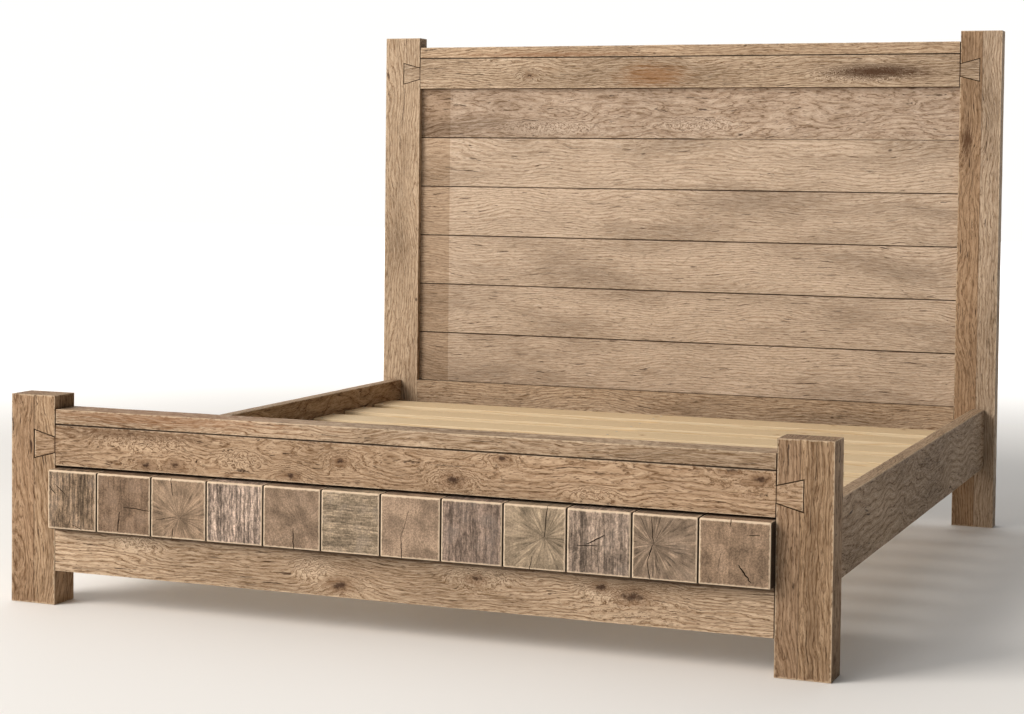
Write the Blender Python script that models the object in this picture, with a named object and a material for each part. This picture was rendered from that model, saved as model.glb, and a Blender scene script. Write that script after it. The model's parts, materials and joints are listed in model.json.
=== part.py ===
"""A king-size timber bed frame: block-fronted footboard, planked headboard, rails and slats.

Metres, +Z up. X runs across the bed, +Y runs from the footboard to the headboard.
The origin lies on the floor, in the middle of the frame's outline.
"""
import math

import bmesh
import bpy
from mathutils import Matrix, Vector

X, Y, Z = 0, 1, 2
FOOT, HEAD = -1, 1
LEFT, RIGHT = -1, 1
SIDE_NAME = {LEFT: "left", RIGHT: "right"}
END_NAME = {FOOT: "foot", HEAD: "head"}

# Fits
GAP = 0.0003                  # between two pieces that touch
TURNING_GAP = 0.00015         # radial, between a turning round piece and its hole
CUT_OVERSHOOT = 0.005         # how far a cutter stands out of the surface it opens

# Overall sizes
POST_SPACING = 1.8288         # between the inner faces of a pair of posts
BED_LENGTH = 2.094            # from the back of the foot posts to the front of the head posts
POST_WIDTH = 0.127
FOOT_POST_DEPTH = 0.086
FOOT_POST_HEIGHT = 0.521
HEAD_POST_DEPTH = 0.057
HEAD_POST_HEIGHT = 1.537

# Cap board and top rail, the same section lying flush with the posts at both ends
FOOT_CAP_DROP = 0.033         # from the top of the post down to the top of the cap
HEAD_CAP_DROP = 0.032
CAP_THICKNESS = 0.038
TOP_RAIL_HEIGHT = 0.102
TAIL_LENGTH = 0.060           # dovetail tail let into the front of each post
TAIL_THICKNESS = 0.022
TAIL_NECK_HEIGHT = 0.038
TAIL_END_HEIGHT = 0.070

# Footboard
FOOT_RAIL_BOTTOM = 0.085
FOOT_RAIL_HEIGHT = 0.1106
BLOCK_COUNT = 12
FIRST_BLOCK_WIDTH = 0.140     # the two end blocks are cut to fill the row
LAST_BLOCK_WIDTH = 0.164
BLOCK_PROUD = 0.032           # how far the blocks stand out in front of the rails
BLOCK_TOP_GAP = 0.006         # dark gap under the top rail
BLOCK_CHAMFER = 0.003
BACKING_THICKNESS = 0.018
TENON_LENGTH = 0.040
TENON_THICKNESS = 0.030
TENON_SHOULDER = 0.025        # from a rail's edge to its tenon

# Headboard
PLANK_COUNT = 6
PLANK_THICKNESS = 0.022
PLANK_RECESS = 0.0195         # from the front of the posts to the front of the planks
PLANK_END_DEPTH = 0.010       # how far a plank's end stands in the post's groove
PLANK_END_SPACE = 0.002       # left free for the planks to swell
TONGUE_THICKNESS = 0.0064
TONGUE_HEIGHT = 0.007
BATTEN_WIDTH = 0.090
BATTEN_THICKNESS = 0.0145

# Side rails
SIDE_RAIL_BOTTOM = 0.184
SIDE_RAIL_HEIGHT = 0.184
SIDE_RAIL_THICKNESS = 0.038
SIDE_RAIL_SETBACK = 0.0314    # from the posts' outer faces in to the rails' outer faces
RAIL_END_SPACE = 0.001        # between a rail's end and the post

# Hook plates that join the side rails to the posts
PLATE_THICKNESS = 0.003
PLATE_WIDTH = 0.019
PLATE_HEIGHT = 0.130
HOOK_COUNT = 2
HOOK_PITCH = 0.064
HOOK_WIDTH = 0.004
HOOK_ROOT_HEIGHT = 0.022
HOOK_NOSE = 0.006             # thickness of the nose behind the slotted plate
HOOK_DROP = 0.009             # how far the nose reaches below the slot
SLOT_SIDE_SPACE = 0.0005
HOOK_POCKET_SPACE = 0.002

# Slats and their supports
LEDGER_SECTION = 0.038
LEDGER_END_SPACE = 0.005
SLAT_COUNT = 9
SLAT_WIDTH = 0.140
SLAT_THICKNESS = 0.019
SLAT_END_SPACE = 0.001
BEAM_WIDTH = 0.038
BEAM_HEIGHT = 0.089
BEAM_SIDE_SPACE = 0.001
BEAM_HOUSING = 0.018          # how far the beam's head end stands in the lower rail

# Centre legs and their levelling feet
LEG_COUNT = 2
LEG_SECTION = 0.064
PAD_RADIUS = 0.022
PAD_EDGE = 0.006
PAD_HEIGHT = 0.012
PAD_TOP_RADIUS = 0.010
PIVOT_RADIUS = 0.004
PIVOT_LENGTH = 0.006
STEM_RADIUS = 0.005
STEM_LENGTH = 0.085           # threaded length above the hexagon
COLLAR_ACROSS_FLATS = 0.017
COLLAR_HEIGHT = 0.008
NUT_FLANGE_RADIUS = 0.013
NUT_FLANGE_THICKNESS = 0.0025
NUT_BARREL_RADIUS = 0.0065
NUT_BARREL_LENGTH = 0.012
ROUND_STEPS = 32

# Positions worked out from the sizes above
FRAME_LENGTH = BLOCK_PROUD + FOOT_POST_DEPTH + BED_LENGTH + HEAD_POST_DEPTH
FOOT_FRONT = BLOCK_PROUD - FRAME_LENGTH / 2
FOOT_BACK = FOOT_FRONT + FOOT_POST_DEPTH
HEAD_FRONT = FOOT_BACK + BED_LENGTH
HEAD_BACK = HEAD_FRONT + HEAD_POST_DEPTH
POST_INNER = POST_SPACING / 2
POST_MIDDLE = POST_INNER + POST_WIDTH / 2
FOOT_CAP_TOP = FOOT_POST_HEIGHT - FOOT_CAP_DROP
HEAD_CAP_TOP = HEAD_POST_HEIGHT - HEAD_CAP_DROP
FOOT_TOP_RAIL_BOTTOM = FOOT_CAP_TOP - CAP_THICKNESS - TOP_RAIL_HEIGHT
HEAD_TOP_RAIL_BOTTOM = HEAD_CAP_TOP - CAP_THICKNESS - TOP_RAIL_HEIGHT
FOOT_RAIL_TOP = FOOT_RAIL_BOTTOM + FOOT_RAIL_HEIGHT
BACKING_FRONT = FOOT_BACK - BACKING_THICKNESS
PLANK_FRONT = HEAD_FRONT + PLANK_RECESS
PLANK_BACK = PLANK_FRONT + PLANK_THICKNESS
PLANK_MIDDLE = (PLANK_FRONT + PLANK_BACK) / 2
LOWER_RAIL_TOP = SIDE_RAIL_BOTTOM + SIDE_RAIL_HEIGHT
PLANK_PITCH = (HEAD_TOP_RAIL_BOTTOM - LOWER_RAIL_TOP) / PLANK_COUNT
SIDE_RAIL_OUTER = POST_INNER + POST_WIDTH - SIDE_RAIL_SETBACK
SIDE_RAIL_INNER = SIDE_RAIL_OUTER - SIDE_RAIL_THICKNESS
SIDE_RAIL_MIDDLE = SIDE_RAIL_INNER + SIDE_RAIL_THICKNESS / 2
PLATE_MIDDLE = SIDE_RAIL_BOTTOM + SIDE_RAIL_HEIGHT / 2
BEAM_BOTTOM = FOOT_RAIL_TOP + GAP
BEAM_TOP = BEAM_BOTTOM + BEAM_HEIGHT
SLAT_BOTTOM = BEAM_TOP + GAP
COLLAR_BOTTOM = PAD_HEIGHT + GAP
COLLAR_TOP = COLLAR_BOTTOM + COLLAR_HEIGHT
NUT_BOTTOM = COLLAR_TOP + GAP
LEG_BOTTOM = NUT_BOTTOM + NUT_FLANGE_THICKNESS + GAP
LEG_TOP = BEAM_BOTTOM - GAP
STEM_TOP = COLLAR_TOP + STEM_LENGTH

# Colour, roughness and metallic value of each kind of piece
POST_LOOK = ((0.42, 0.31, 0.21, 1.0), 0.62, 0.0)
RAIL_LOOK = ((0.45, 0.33, 0.22, 1.0), 0.60, 0.0)
BLOCK_LOOK = ((0.34, 0.25, 0.17, 1.0), 0.78, 0.0)
PLANK_LOOK = ((0.43, 0.32, 0.22, 1.0), 0.60, 0.0)
PLAIN_WOOD_LOOK = ((0.58, 0.43, 0.27, 1.0), 0.70, 0.0)
STEEL_LOOK = ((0.50, 0.49, 0.47, 1.0), 0.38, 1.0)
PAD_LOOK = ((0.03, 0.03, 0.03, 1.0), 0.75, 0.0)


def clear_scene():
    for item in list(bpy.data.objects):
        bpy.data.objects.remove(item, do_unlink=True)


def group(name, location):
    empty = bpy.data.objects.new(name, None)
    empty.location = location
    bpy.context.collection.objects.link(empty)
    return empty


def look_material(name, look):
    colour, roughness, metallic = look
    material = bpy.data.materials.new(name)
    material.use_nodes = True
    shader = material.node_tree.nodes["Principled BSDF"]
    shader.inputs["Base Color"].default_value = colour
    shader.inputs["Roughness"].default_value = roughness
    shader.inputs["Metallic"].default_value = metallic
    material.diffuse_color = colour
    return material


def link_mesh(name, solid, origin, parent):
    """Makes an object from a mesh in world places, with its origin where it is asked for."""
    bmesh.ops.translate(solid, vec=-Vector(origin), verts=solid.verts)
    bmesh.ops.recalc_face_normals(solid, faces=solid.faces)
    mesh = bpy.data.meshes.new(name)
    solid.to_mesh(mesh)
    solid.free()
    made = bpy.data.objects.new(name, mesh)
    made.location = Vector(origin) - parent.location
    made.parent = parent
    bpy.context.collection.objects.link(made)
    return made


def piece(name, solid, look, parent, origin=None):
    if origin is None:
        corners = [vert.co for vert in solid.verts]
        origin = [(min(c[i] for c in corners) + max(c[i] for c in corners)) / 2 for i in range(3)]
    made = link_mesh(name, solid, origin, parent)
    made.data.materials.append(look_material(name, look))
    return made


def tool(target, solid, parent, operation):
    """Adds or cuts a helper shape with a Boolean that stays on the piece."""
    name = target.name + "_" + operation.lower()
    helper = link_mesh(name, solid, parent.location, parent)
    helper.hide_render = True
    helper.display_type = "WIRE"
    modifier = target.modifiers.new(name, "BOOLEAN")
    modifier.operation = operation
    modifier.solver = "EXACT"
    modifier.object = helper


def box(x, y, z):
    """A box between three pairs of places."""
    solid = bmesh.new()
    bmesh.ops.create_cube(solid, size=1.0)
    size = Vector((x[1] - x[0], y[1] - y[0], z[1] - z[0]))
    centre = Vector((x[0] + x[1], y[0] + y[1], z[0] + z[1])) / 2
    bmesh.ops.scale(solid, vec=size, verts=solid.verts)
    bmesh.ops.translate(solid, vec=centre, verts=solid.verts)
    return solid


def around(middle, half):
    return (middle - half, middle + half)


def ordered(a, b):
    return (min(a, b), max(a, b))


def merged(solids):
    """Several solids that don't touch, as one mesh."""
    whole = bmesh.new()
    for solid in solids:
        mesh = bpy.data.meshes.new("part_of_tool")
        solid.to_mesh(mesh)
        solid.free()
        whole.from_mesh(mesh)
        bpy.data.meshes.remove(mesh)
    return whole


def slice_at(solid, axis, places):
    """Adds an edge loop round the solid at each place along an axis."""
    for place in places:
        point = Vector()
        point[axis] = place
        normal = Vector()
        normal[axis] = 1.0
        everything = solid.verts[:] + solid.edges[:] + solid.faces[:]
        bmesh.ops.bisect_plane(solid, geom=everything, plane_co=point, plane_no=normal)


def face_at(solid, point, normal):
    """The face nearest to a point among those that look along a direction."""
    solid.normal_update()
    facing = [face for face in solid.faces if face.normal.dot(Vector(normal)) > 0.99]
    return min(facing, key=lambda face: (face.calc_center_median() - Vector(point)).length)


def push(solid, face, offset):
    """Extrudes one face by an offset, outward for a tenon, inward for a pocket."""
    moved = bmesh.ops.extrude_discrete_faces(solid, faces=[face])["faces"][0]
    bmesh.ops.translate(solid, vec=Vector(offset), verts=moved.verts)
    return moved


def turned(profile, place):
    """A closed (radius, height) outline turned about a vertical axis."""
    solid = bmesh.new()
    verts = [solid.verts.new((radius, 0.0, height)) for radius, height in profile]
    count = len(verts)
    edges = [solid.edges.new((verts[i], verts[(i + 1) % count])) for i in range(count)]
    bmesh.ops.spin(solid, geom=verts + edges, cent=(0, 0, 0), axis=(0, 0, 1),
                   angle=2 * math.pi, steps=ROUND_STEPS, use_merge=True)
    bmesh.ops.remove_doubles(solid, verts=solid.verts, dist=1e-6)
    bmesh.ops.dissolve_degenerate(solid, edges=solid.edges, dist=1e-6)
    loose = [edge for edge in solid.edges if not edge.link_faces]
    bmesh.ops.delete(solid, geom=loose, context="EDGES")
    bmesh.ops.translate(solid, vec=Vector(place), verts=solid.verts)
    return solid


def smooth(made):
    made.data.shade_smooth()
    made.data.set_sharp_from_angle(angle=math.radians(40))


# Top rail with its dovetails, used at the foot and at the head

def top_rail(name, front, depth, bottom, parent):
    middle = bottom + TOP_RAIL_HEIGHT / 2
    end = POST_INNER - GAP
    solid = box((-end, end), (front, front + depth), (bottom, bottom + TOP_RAIL_HEIGHT - GAP))
    slice_at(solid, Y, [front + TAIL_THICKNESS])
    slice_at(solid, Z, around(middle, TAIL_NECK_HEIGHT / 2))
    for side in (LEFT, RIGHT):
        neck = face_at(solid, (side * end, front + TAIL_THICKNESS / 2, middle), (side, 0, 0))
        tail = push(solid, neck, (side * (TAIL_LENGTH + GAP), 0, 0))
        for vert in tail.verts:
            vert.co.z = middle + (vert.co.z - middle) * TAIL_END_HEIGHT / TAIL_NECK_HEIGHT
    return piece(name, solid, RAIL_LOOK, parent)


def dovetail_socket(side, front, bottom):
    """The wedge that opens a post's front and inner face for one tail."""
    middle = bottom + TOP_RAIL_HEIGHT / 2
    neck = TAIL_NECK_HEIGHT / 2 + GAP
    slope = (TAIL_END_HEIGHT - TAIL_NECK_HEIGHT) / 2 / TAIL_LENGTH
    start = POST_INNER - CUT_OVERSHOOT
    stop = POST_INNER + TAIL_LENGTH + GAP
    outline = [(start, neck - slope * CUT_OVERSHOOT), (stop, neck + slope * (TAIL_LENGTH + GAP))]
    points = [(x, middle + half) for x, half in outline]
    points += [(x, middle - half) for x, half in reversed(outline)]
    solid = bmesh.new()
    y = front - CUT_OVERSHOOT
    face = solid.faces.new([solid.verts.new((side * x, y, z)) for x, z in points])
    depth = CUT_OVERSHOOT + TAIL_THICKNESS + GAP
    made = bmesh.ops.extrude_face_region(solid, geom=[face])["geom"]
    moved = [item for item in made if isinstance(item, bmesh.types.BMVert)]
    bmesh.ops.translate(solid, vec=(0, depth, 0), verts=moved)
    bmesh.ops.recalc_face_normals(solid, faces=solid.faces)
    return solid


def tenoned_rail(front, depth, bottom, height):
    """The solid of a lower rail between two posts, with a stub tenon at each end."""
    end = POST_INNER - GAP
    solid = box((-end, end), (front, front + depth), (bottom, bottom + height))
    middle = front + depth / 2
    slice_at(solid, Y, around(middle, TENON_THICKNESS / 2))
    slice_at(solid, Z, (bottom + TENON_SHOULDER, bottom + height - TENON_SHOULDER))
    for side in (LEFT, RIGHT):
        face = face_at(solid, (side * end, middle, bottom + height / 2), (side, 0, 0))
        push(solid, face, (side * TENON_LENGTH, 0, 0))
    return solid


def tenon_mortise(side, front, depth, bottom, height):
    x = ordered(side * (POST_INNER - CUT_OVERSHOOT), side * (POST_INNER + TENON_LENGTH + GAP))
    y = around(front + depth / 2, TENON_THICKNESS / 2 + GAP)
    z = (bottom + TENON_SHOULDER - GAP, bottom + height - TENON_SHOULDER + GAP)
    return box(x, y, z)


# Hook plates

def hook_roots():
    """The height of each hook's underside, which rests on the slotted plate."""
    start = PLATE_MIDDLE - HOOK_PITCH * (HOOK_COUNT - 1) / 2 - HOOK_ROOT_HEIGHT / 2
    return [start + index * HOOK_PITCH for index in range(HOOK_COUNT)]


def post_face(end):
    return FOOT_BACK if end == FOOT else HEAD_FRONT


def plate_recess(side, end):
    """The shallow recess for the slotted plate, with a deeper pocket behind each slot."""
    face = post_face(end)
    half_width = PLATE_WIDTH / 2 + GAP
    floor = face + end * (PLATE_THICKNESS + GAP)
    x = around(side * SIDE_RAIL_MIDDLE, half_width)
    solid = box(x, ordered(face - end * CUT_OVERSHOOT, floor),
                around(PLATE_MIDDLE, PLATE_HEIGHT / 2 + GAP))
    pocket_x = around(side * SIDE_RAIL_MIDDLE, HOOK_WIDTH / 2 + HOOK_POCKET_SPACE)
    slice_at(solid, X, pocket_x)
    for root in hook_roots():
        low = root - HOOK_DROP - HOOK_POCKET_SPACE
        high = root + HOOK_ROOT_HEIGHT + HOOK_DROP + HOOK_POCKET_SPACE
        slice_at(solid, Z, (low, high))
        point = (side * SIDE_RAIL_MIDDLE, floor, (low + high) / 2)
        push(solid, face_at(solid, point, (0, end, 0)), (0, end * (HOOK_NOSE + HOOK_POCKET_SPACE), 0))
    return solid


def slotted_plate(side, end, parent):
    face = post_face(end)
    x = side * SIDE_RAIL_MIDDLE
    y = ordered(face, face + end * PLATE_THICKNESS)
    solid = box(around(x, PLATE_WIDTH / 2), y, around(PLATE_MIDDLE, PLATE_HEIGHT / 2))
    name = f"{END_NAME[end]}_{SIDE_NAME[side]}_slotted_plate"
    made = piece(name, solid, STEEL_LOOK, parent)
    slots = []
    for root in hook_roots():
        z = (root - GAP, root + HOOK_ROOT_HEIGHT + HOOK_DROP)
        through = (y[0] - CUT_OVERSHOOT, y[1] + CUT_OVERSHOOT)
        slots.append(box(around(x, HOOK_WIDTH / 2 + SLOT_SIDE_SPACE), through, z))
    tool(made, merged(slots), parent, "DIFFERENCE")


def hook_plate(side, end, parent):
    """The plate on the rail's end, its hooks passing through the slots and down behind them."""
    face = post_face(end)
    x = side * SIDE_RAIL_MIDDLE
    near = face - end * GAP
    far = near - end * PLATE_THICKNESS
    solid = box(around(x, PLATE_WIDTH / 2), ordered(near, far), around(PLATE_MIDDLE, PLATE_HEIGHT / 2))
    slice_at(solid, X, around(x, HOOK_WIDTH / 2))
    for root in hook_roots():
        slice_at(solid, Z, (root, root + HOOK_ROOT_HEIGHT))
    neck = GAP + PLATE_THICKNESS + GAP
    for root in hook_roots():
        middle = root + HOOK_ROOT_HEIGHT / 2
        stub = push(solid, face_at(solid, (x, near, middle), (0, end, 0)), (0, end * neck, 0))
        push(solid, stub, (0, end * HOOK_NOSE, 0))
        nose = face + end * (neck - GAP + HOOK_NOSE / 2)
        under = face_at(solid, (x, nose, root), (0, 0, -1))
        push(solid, under, (0, 0, -HOOK_DROP))
    name = f"{END_NAME[end]}_{SIDE_NAME[side]}_hook_plate"
    piece(name, solid, STEEL_LOOK, parent)


# Footboard

def foot_post(side, parent):
    solid = box(around(side * POST_MIDDLE, POST_WIDTH / 2), (FOOT_FRONT, FOOT_BACK), (0, FOOT_POST_HEIGHT))
    made = piece(f"foot_{SIDE_NAME[side]}_post", solid, POST_LOOK, parent)
    cuts = [
        dovetail_socket(side, FOOT_FRONT, FOOT_TOP_RAIL_BOTTOM),
        tenon_mortise(side, FOOT_FRONT, FOOT_POST_DEPTH, FOOT_RAIL_BOTTOM, FOOT_RAIL_HEIGHT),
        plate_recess(side, FOOT),
    ]
    tool(made, merged(cuts), parent, "DIFFERENCE")


def cap_board(name, front, back, top, parent):
    end = POST_INNER - GAP
    solid = box((-end, end), (front, back), (top - CAP_THICKNESS, top))
    piece(name, solid, RAIL_LOOK, parent)


def backing_board(parent):
    end = POST_INNER - GAP
    solid = box((-end, end), (BACKING_FRONT, FOOT_BACK), (FOOT_RAIL_TOP + GAP, FOOT_TOP_RAIL_BOTTOM - GAP))
    made = piece("foot_backing_board", solid, PLAIN_WOOD_LOOK, parent)
    y = (BACKING_FRONT - CUT_OVERSHOOT, FOOT_BACK + CUT_OVERSHOOT)
    z = (FOOT_RAIL_TOP - CUT_OVERSHOOT, BEAM_TOP + BEAM_SIDE_SPACE)
    notch = box(around(0, BEAM_WIDTH / 2 + BEAM_SIDE_SPACE), y, z)
    tool(made, notch, parent, "DIFFERENCE")


def block_edges():
    """The places along X where one block ends and the next begins."""
    inner = POST_SPACING - FIRST_BLOCK_WIDTH - LAST_BLOCK_WIDTH
    pitch = inner / (BLOCK_COUNT - 2)
    first = FIRST_BLOCK_WIDTH - POST_INNER
    middle = [first + index * pitch for index in range(BLOCK_COUNT - 1)]
    return [-POST_INNER] + middle + [POST_INNER]


def end_grain_blocks(parent):
    edges = block_edges()
    bottom = FOOT_RAIL_TOP + GAP
    top = FOOT_TOP_RAIL_BOTTOM - BLOCK_TOP_GAP
    for index in range(BLOCK_COUNT):
        x = (edges[index] + GAP, edges[index + 1] - GAP)
        solid = box(x, (FOOT_FRONT - BLOCK_PROUD, BACKING_FRONT - GAP), (bottom, top))
        bmesh.ops.bevel(solid, geom=solid.edges[:], offset=BLOCK_CHAMFER, segments=1, affect="EDGES")
        piece(f"end_grain_block_{index + 1:02d}", solid, BLOCK_LOOK, parent)


def footboard():
    parent = group("footboard", (0, FOOT_FRONT, 0))
    for side in (LEFT, RIGHT):
        foot_post(side, parent)
    cap_board("foot_cap_board", FOOT_FRONT, FOOT_BACK, FOOT_CAP_TOP, parent)
    top_rail("foot_top_rail", FOOT_FRONT, FOOT_POST_DEPTH, FOOT_TOP_RAIL_BOTTOM, parent)
    bottom_rail = tenoned_rail(FOOT_FRONT, FOOT_POST_DEPTH, FOOT_RAIL_BOTTOM, FOOT_RAIL_HEIGHT)
    piece("foot_bottom_rail", bottom_rail, RAIL_LOOK, parent)
    backing_board(parent)
    end_grain_blocks(parent)


# Headboard

def plank_groove(side):
    """The groove in a head post that takes the ends of the planks."""
    depth = PLANK_END_DEPTH + PLANK_END_SPACE
    x = ordered(side * (POST_INNER - CUT_OVERSHOOT), side * (POST_INNER + depth))
    y = (PLANK_FRONT - GAP, PLANK_BACK + GAP)
    z = (LOWER_RAIL_TOP - GAP, HEAD_TOP_RAIL_BOTTOM + TONGUE_HEIGHT + GAP)
    return box(x, y, z)


def head_post(side, parent):
    solid = box(around(side * POST_MIDDLE, POST_WIDTH / 2), (HEAD_FRONT, HEAD_BACK), (0, HEAD_POST_HEIGHT))
    made = piece(f"head_{SIDE_NAME[side]}_post", solid, POST_LOOK, parent)
    cuts = [
        dovetail_socket(side, HEAD_FRONT, HEAD_TOP_RAIL_BOTTOM),
        plank_groove(side),
        tenon_mortise(side, HEAD_FRONT, HEAD_POST_DEPTH, SIDE_RAIL_BOTTOM, SIDE_RAIL_HEIGHT),
        plate_recess(side, HEAD),
    ]
    tool(made, merged(cuts), parent, "DIFFERENCE")


def head_top_rail(parent):
    made = top_rail("head_top_rail", HEAD_FRONT, HEAD_POST_DEPTH, HEAD_TOP_RAIL_BOTTOM, parent)
    x = around(0, POST_INNER + CUT_OVERSHOOT)
    y = around(PLANK_MIDDLE, TONGUE_THICKNESS / 2 + GAP)
    z = (HEAD_TOP_RAIL_BOTTOM - CUT_OVERSHOOT, HEAD_TOP_RAIL_BOTTOM + TONGUE_HEIGHT + GAP)
    tool(made, box(x, y, z), parent, "DIFFERENCE")


def head_lower_rail(parent):
    """The lower rail carries a tongue for the lowest plank and a housing for the beam's end."""
    solid = tenoned_rail(HEAD_FRONT, HEAD_POST_DEPTH, SIDE_RAIL_BOTTOM, SIDE_RAIL_HEIGHT)
    made = piece("head_lower_rail", solid, RAIL_LOOK, parent)
    end = POST_INNER - GAP
    z = (LOWER_RAIL_TOP - CUT_OVERSHOOT, LOWER_RAIL_TOP + TONGUE_HEIGHT)
    tool(made, box((-end, end), around(PLANK_MIDDLE, TONGUE_THICKNESS / 2), z), parent, "UNION")
    y = (HEAD_FRONT - CUT_OVERSHOOT, HEAD_FRONT + BEAM_HOUSING + GAP)
    z = (BEAM_BOTTOM - GAP, BEAM_TOP + BEAM_SIDE_SPACE)
    housing = box(around(0, BEAM_WIDTH / 2 + BEAM_SIDE_SPACE), y, z)
    tool(made, housing, parent, "DIFFERENCE")


def head_planks(parent):
    end = POST_INNER + PLANK_END_DEPTH
    for index in range(PLANK_COUNT):
        bottom = LOWER_RAIL_TOP + index * PLANK_PITCH + GAP
        top = LOWER_RAIL_TOP + (index + 1) * PLANK_PITCH
        solid = box((-end, end), (PLANK_FRONT, PLANK_BACK), (bottom, top))
        groove = around(PLANK_MIDDLE, TONGUE_THICKNESS / 2 + GAP)
        tongue = around(PLANK_MIDDLE, TONGUE_THICKNESS / 2)
        slice_at(solid, Y, groove + tongue)
        tongue_face = face_at(solid, (0, PLANK_MIDDLE, top), (0, 0, 1))
        push(solid, tongue_face, (0, 0, TONGUE_HEIGHT))
        made = piece(f"head_plank_{index + 1}", solid, PLANK_LOOK, parent)
        z = (bottom - CUT_OVERSHOOT, bottom + TONGUE_HEIGHT)
        cut = box((-end - CUT_OVERSHOOT, end + CUT_OVERSHOOT), groove, z)
        tool(made, cut, parent, "DIFFERENCE")


def head_batten(parent):
    y = (PLANK_BACK + GAP, PLANK_BACK + GAP + BATTEN_THICKNESS)
    z = (LOWER_RAIL_TOP + GAP, HEAD_TOP_RAIL_BOTTOM - GAP)
    piece("head_batten", box(around(0, BATTEN_WIDTH / 2), y, z), PLAIN_WOOD_LOOK, parent)


def headboard():
    parent = group("headboard", (0, HEAD_FRONT, 0))
    for side in (LEFT, RIGHT):
        head_post(side, parent)
    cap_board("head_cap_board", HEAD_FRONT, HEAD_BACK, HEAD_CAP_TOP, parent)
    head_top_rail(parent)
    head_lower_rail(parent)
    head_planks(parent)
    head_batten(parent)


# Side rails, ledgers and their hook plates

def side_rail(side, parent):
    x = ordered(side * SIDE_RAIL_INNER, side * SIDE_RAIL_OUTER)
    y = (FOOT_BACK + RAIL_END_SPACE, HEAD_FRONT - RAIL_END_SPACE)
    solid = box(x, y, (SIDE_RAIL_BOTTOM, SIDE_RAIL_BOTTOM + SIDE_RAIL_HEIGHT))
    made = piece(f"{SIDE_NAME[side]}_side_rail", solid, RAIL_LOOK, parent)
    recesses = []
    for end in (FOOT, HEAD):
        face = post_face(end)
        floor = face - end * (PLATE_THICKNESS + 2 * GAP)
        recess_x = around(side * SIDE_RAIL_MIDDLE, PLATE_WIDTH / 2 + GAP)
        recess_z = around(PLATE_MIDDLE, PLATE_HEIGHT / 2 + GAP)
        recesses.append(box(recess_x, ordered(face + end * CUT_OVERSHOOT, floor), recess_z))
    tool(made, merged(recesses), parent, "DIFFERENCE")


def ledger(side, parent):
    """The cleat along the inside of a side rail that carries the ends of the slats."""
    outer = SIDE_RAIL_INNER - GAP
    x = ordered(side * outer, side * (outer - LEDGER_SECTION))
    y = (FOOT_BACK + LEDGER_END_SPACE, HEAD_FRONT - LEDGER_END_SPACE)
    solid = box(x, y, (BEAM_TOP - LEDGER_SECTION, BEAM_TOP))
    piece(f"{SIDE_NAME[side]}_ledger", solid, PLAIN_WOOD_LOOK, parent)


def side_rails():
    parent = group("side_rails", (0, FOOT_BACK, SIDE_RAIL_BOTTOM))
    for side in (LEFT, RIGHT):
        side_rail(side, parent)
        ledger(side, parent)
        for end in (FOOT, HEAD):
            slotted_plate(side, end, parent)
            hook_plate(side, end, parent)


# Slats, beam and centre legs

def slats(parent):
    end = SIDE_RAIL_INNER - SLAT_END_SPACE
    space = (BED_LENGTH - SLAT_COUNT * SLAT_WIDTH) / (SLAT_COUNT + 1)
    for index in range(SLAT_COUNT):
        start = FOOT_BACK + space + index * (SLAT_WIDTH + space)
        solid = box((-end, end), (start, start + SLAT_WIDTH), (SLAT_BOTTOM, SLAT_BOTTOM + SLAT_THICKNESS))
        piece(f"slat_{index + 1}", solid, PLAIN_WOOD_LOOK, parent)


def centre_beam(parent):
    y = (BACKING_FRONT + GAP, HEAD_FRONT + BEAM_HOUSING)
    solid = box(around(0, BEAM_WIDTH / 2), y, (BEAM_BOTTOM, BEAM_TOP))
    piece("centre_beam", solid, PLAIN_WOOD_LOOK, parent)


def centre_leg(number, y, parent):
    half = LEG_SECTION / 2
    solid = box(around(0, half), around(y, half), (LEG_BOTTOM, LEG_TOP))
    made = piece(f"centre_leg_{number}", solid, PLAIN_WOOD_LOOK, parent)
    radius = NUT_BARREL_RADIUS + GAP
    low = LEG_BOTTOM - CUT_OVERSHOOT
    high = STEM_TOP + CUT_OVERSHOOT
    bore = turned([(0, low), (radius, low), (radius, high), (0, high)], (0, y, 0))
    tool(made, bore, parent, "DIFFERENCE")


def leg_nut(number, y, parent):
    """The flanged nut that is driven into the foot of the leg."""
    hole = STEM_RADIUS + TURNING_GAP
    flange_top = NUT_BOTTOM + NUT_FLANGE_THICKNESS
    barrel_top = flange_top + NUT_BARREL_LENGTH
    profile = [
        (hole, NUT_BOTTOM),
        (NUT_FLANGE_RADIUS, NUT_BOTTOM),
        (NUT_FLANGE_RADIUS, flange_top),
        (NUT_BARREL_RADIUS, flange_top),
        (NUT_BARREL_RADIUS, barrel_top),
        (hole, barrel_top),
    ]
    made = piece(f"leg_nut_{number}", turned(profile, (0, y, 0)), STEEL_LOOK, parent)
    smooth(made)


def levelling_pad(number, y, parent):
    socket = PIVOT_RADIUS + TURNING_GAP
    socket_floor = PAD_HEIGHT - PIVOT_LENGTH
    profile = [
        (0, 0),
        (PAD_RADIUS, 0),
        (PAD_RADIUS, PAD_EDGE),
        (PAD_TOP_RADIUS, PAD_HEIGHT),
        (socket, PAD_HEIGHT),
        (socket, socket_floor),
        (0, socket_floor),
    ]
    solid = turned(profile, (0, y, 0))
    made = piece(f"levelling_pad_{number}", solid, PAD_LOOK, parent, origin=(0, y, 0))
    smooth(made)


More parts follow.
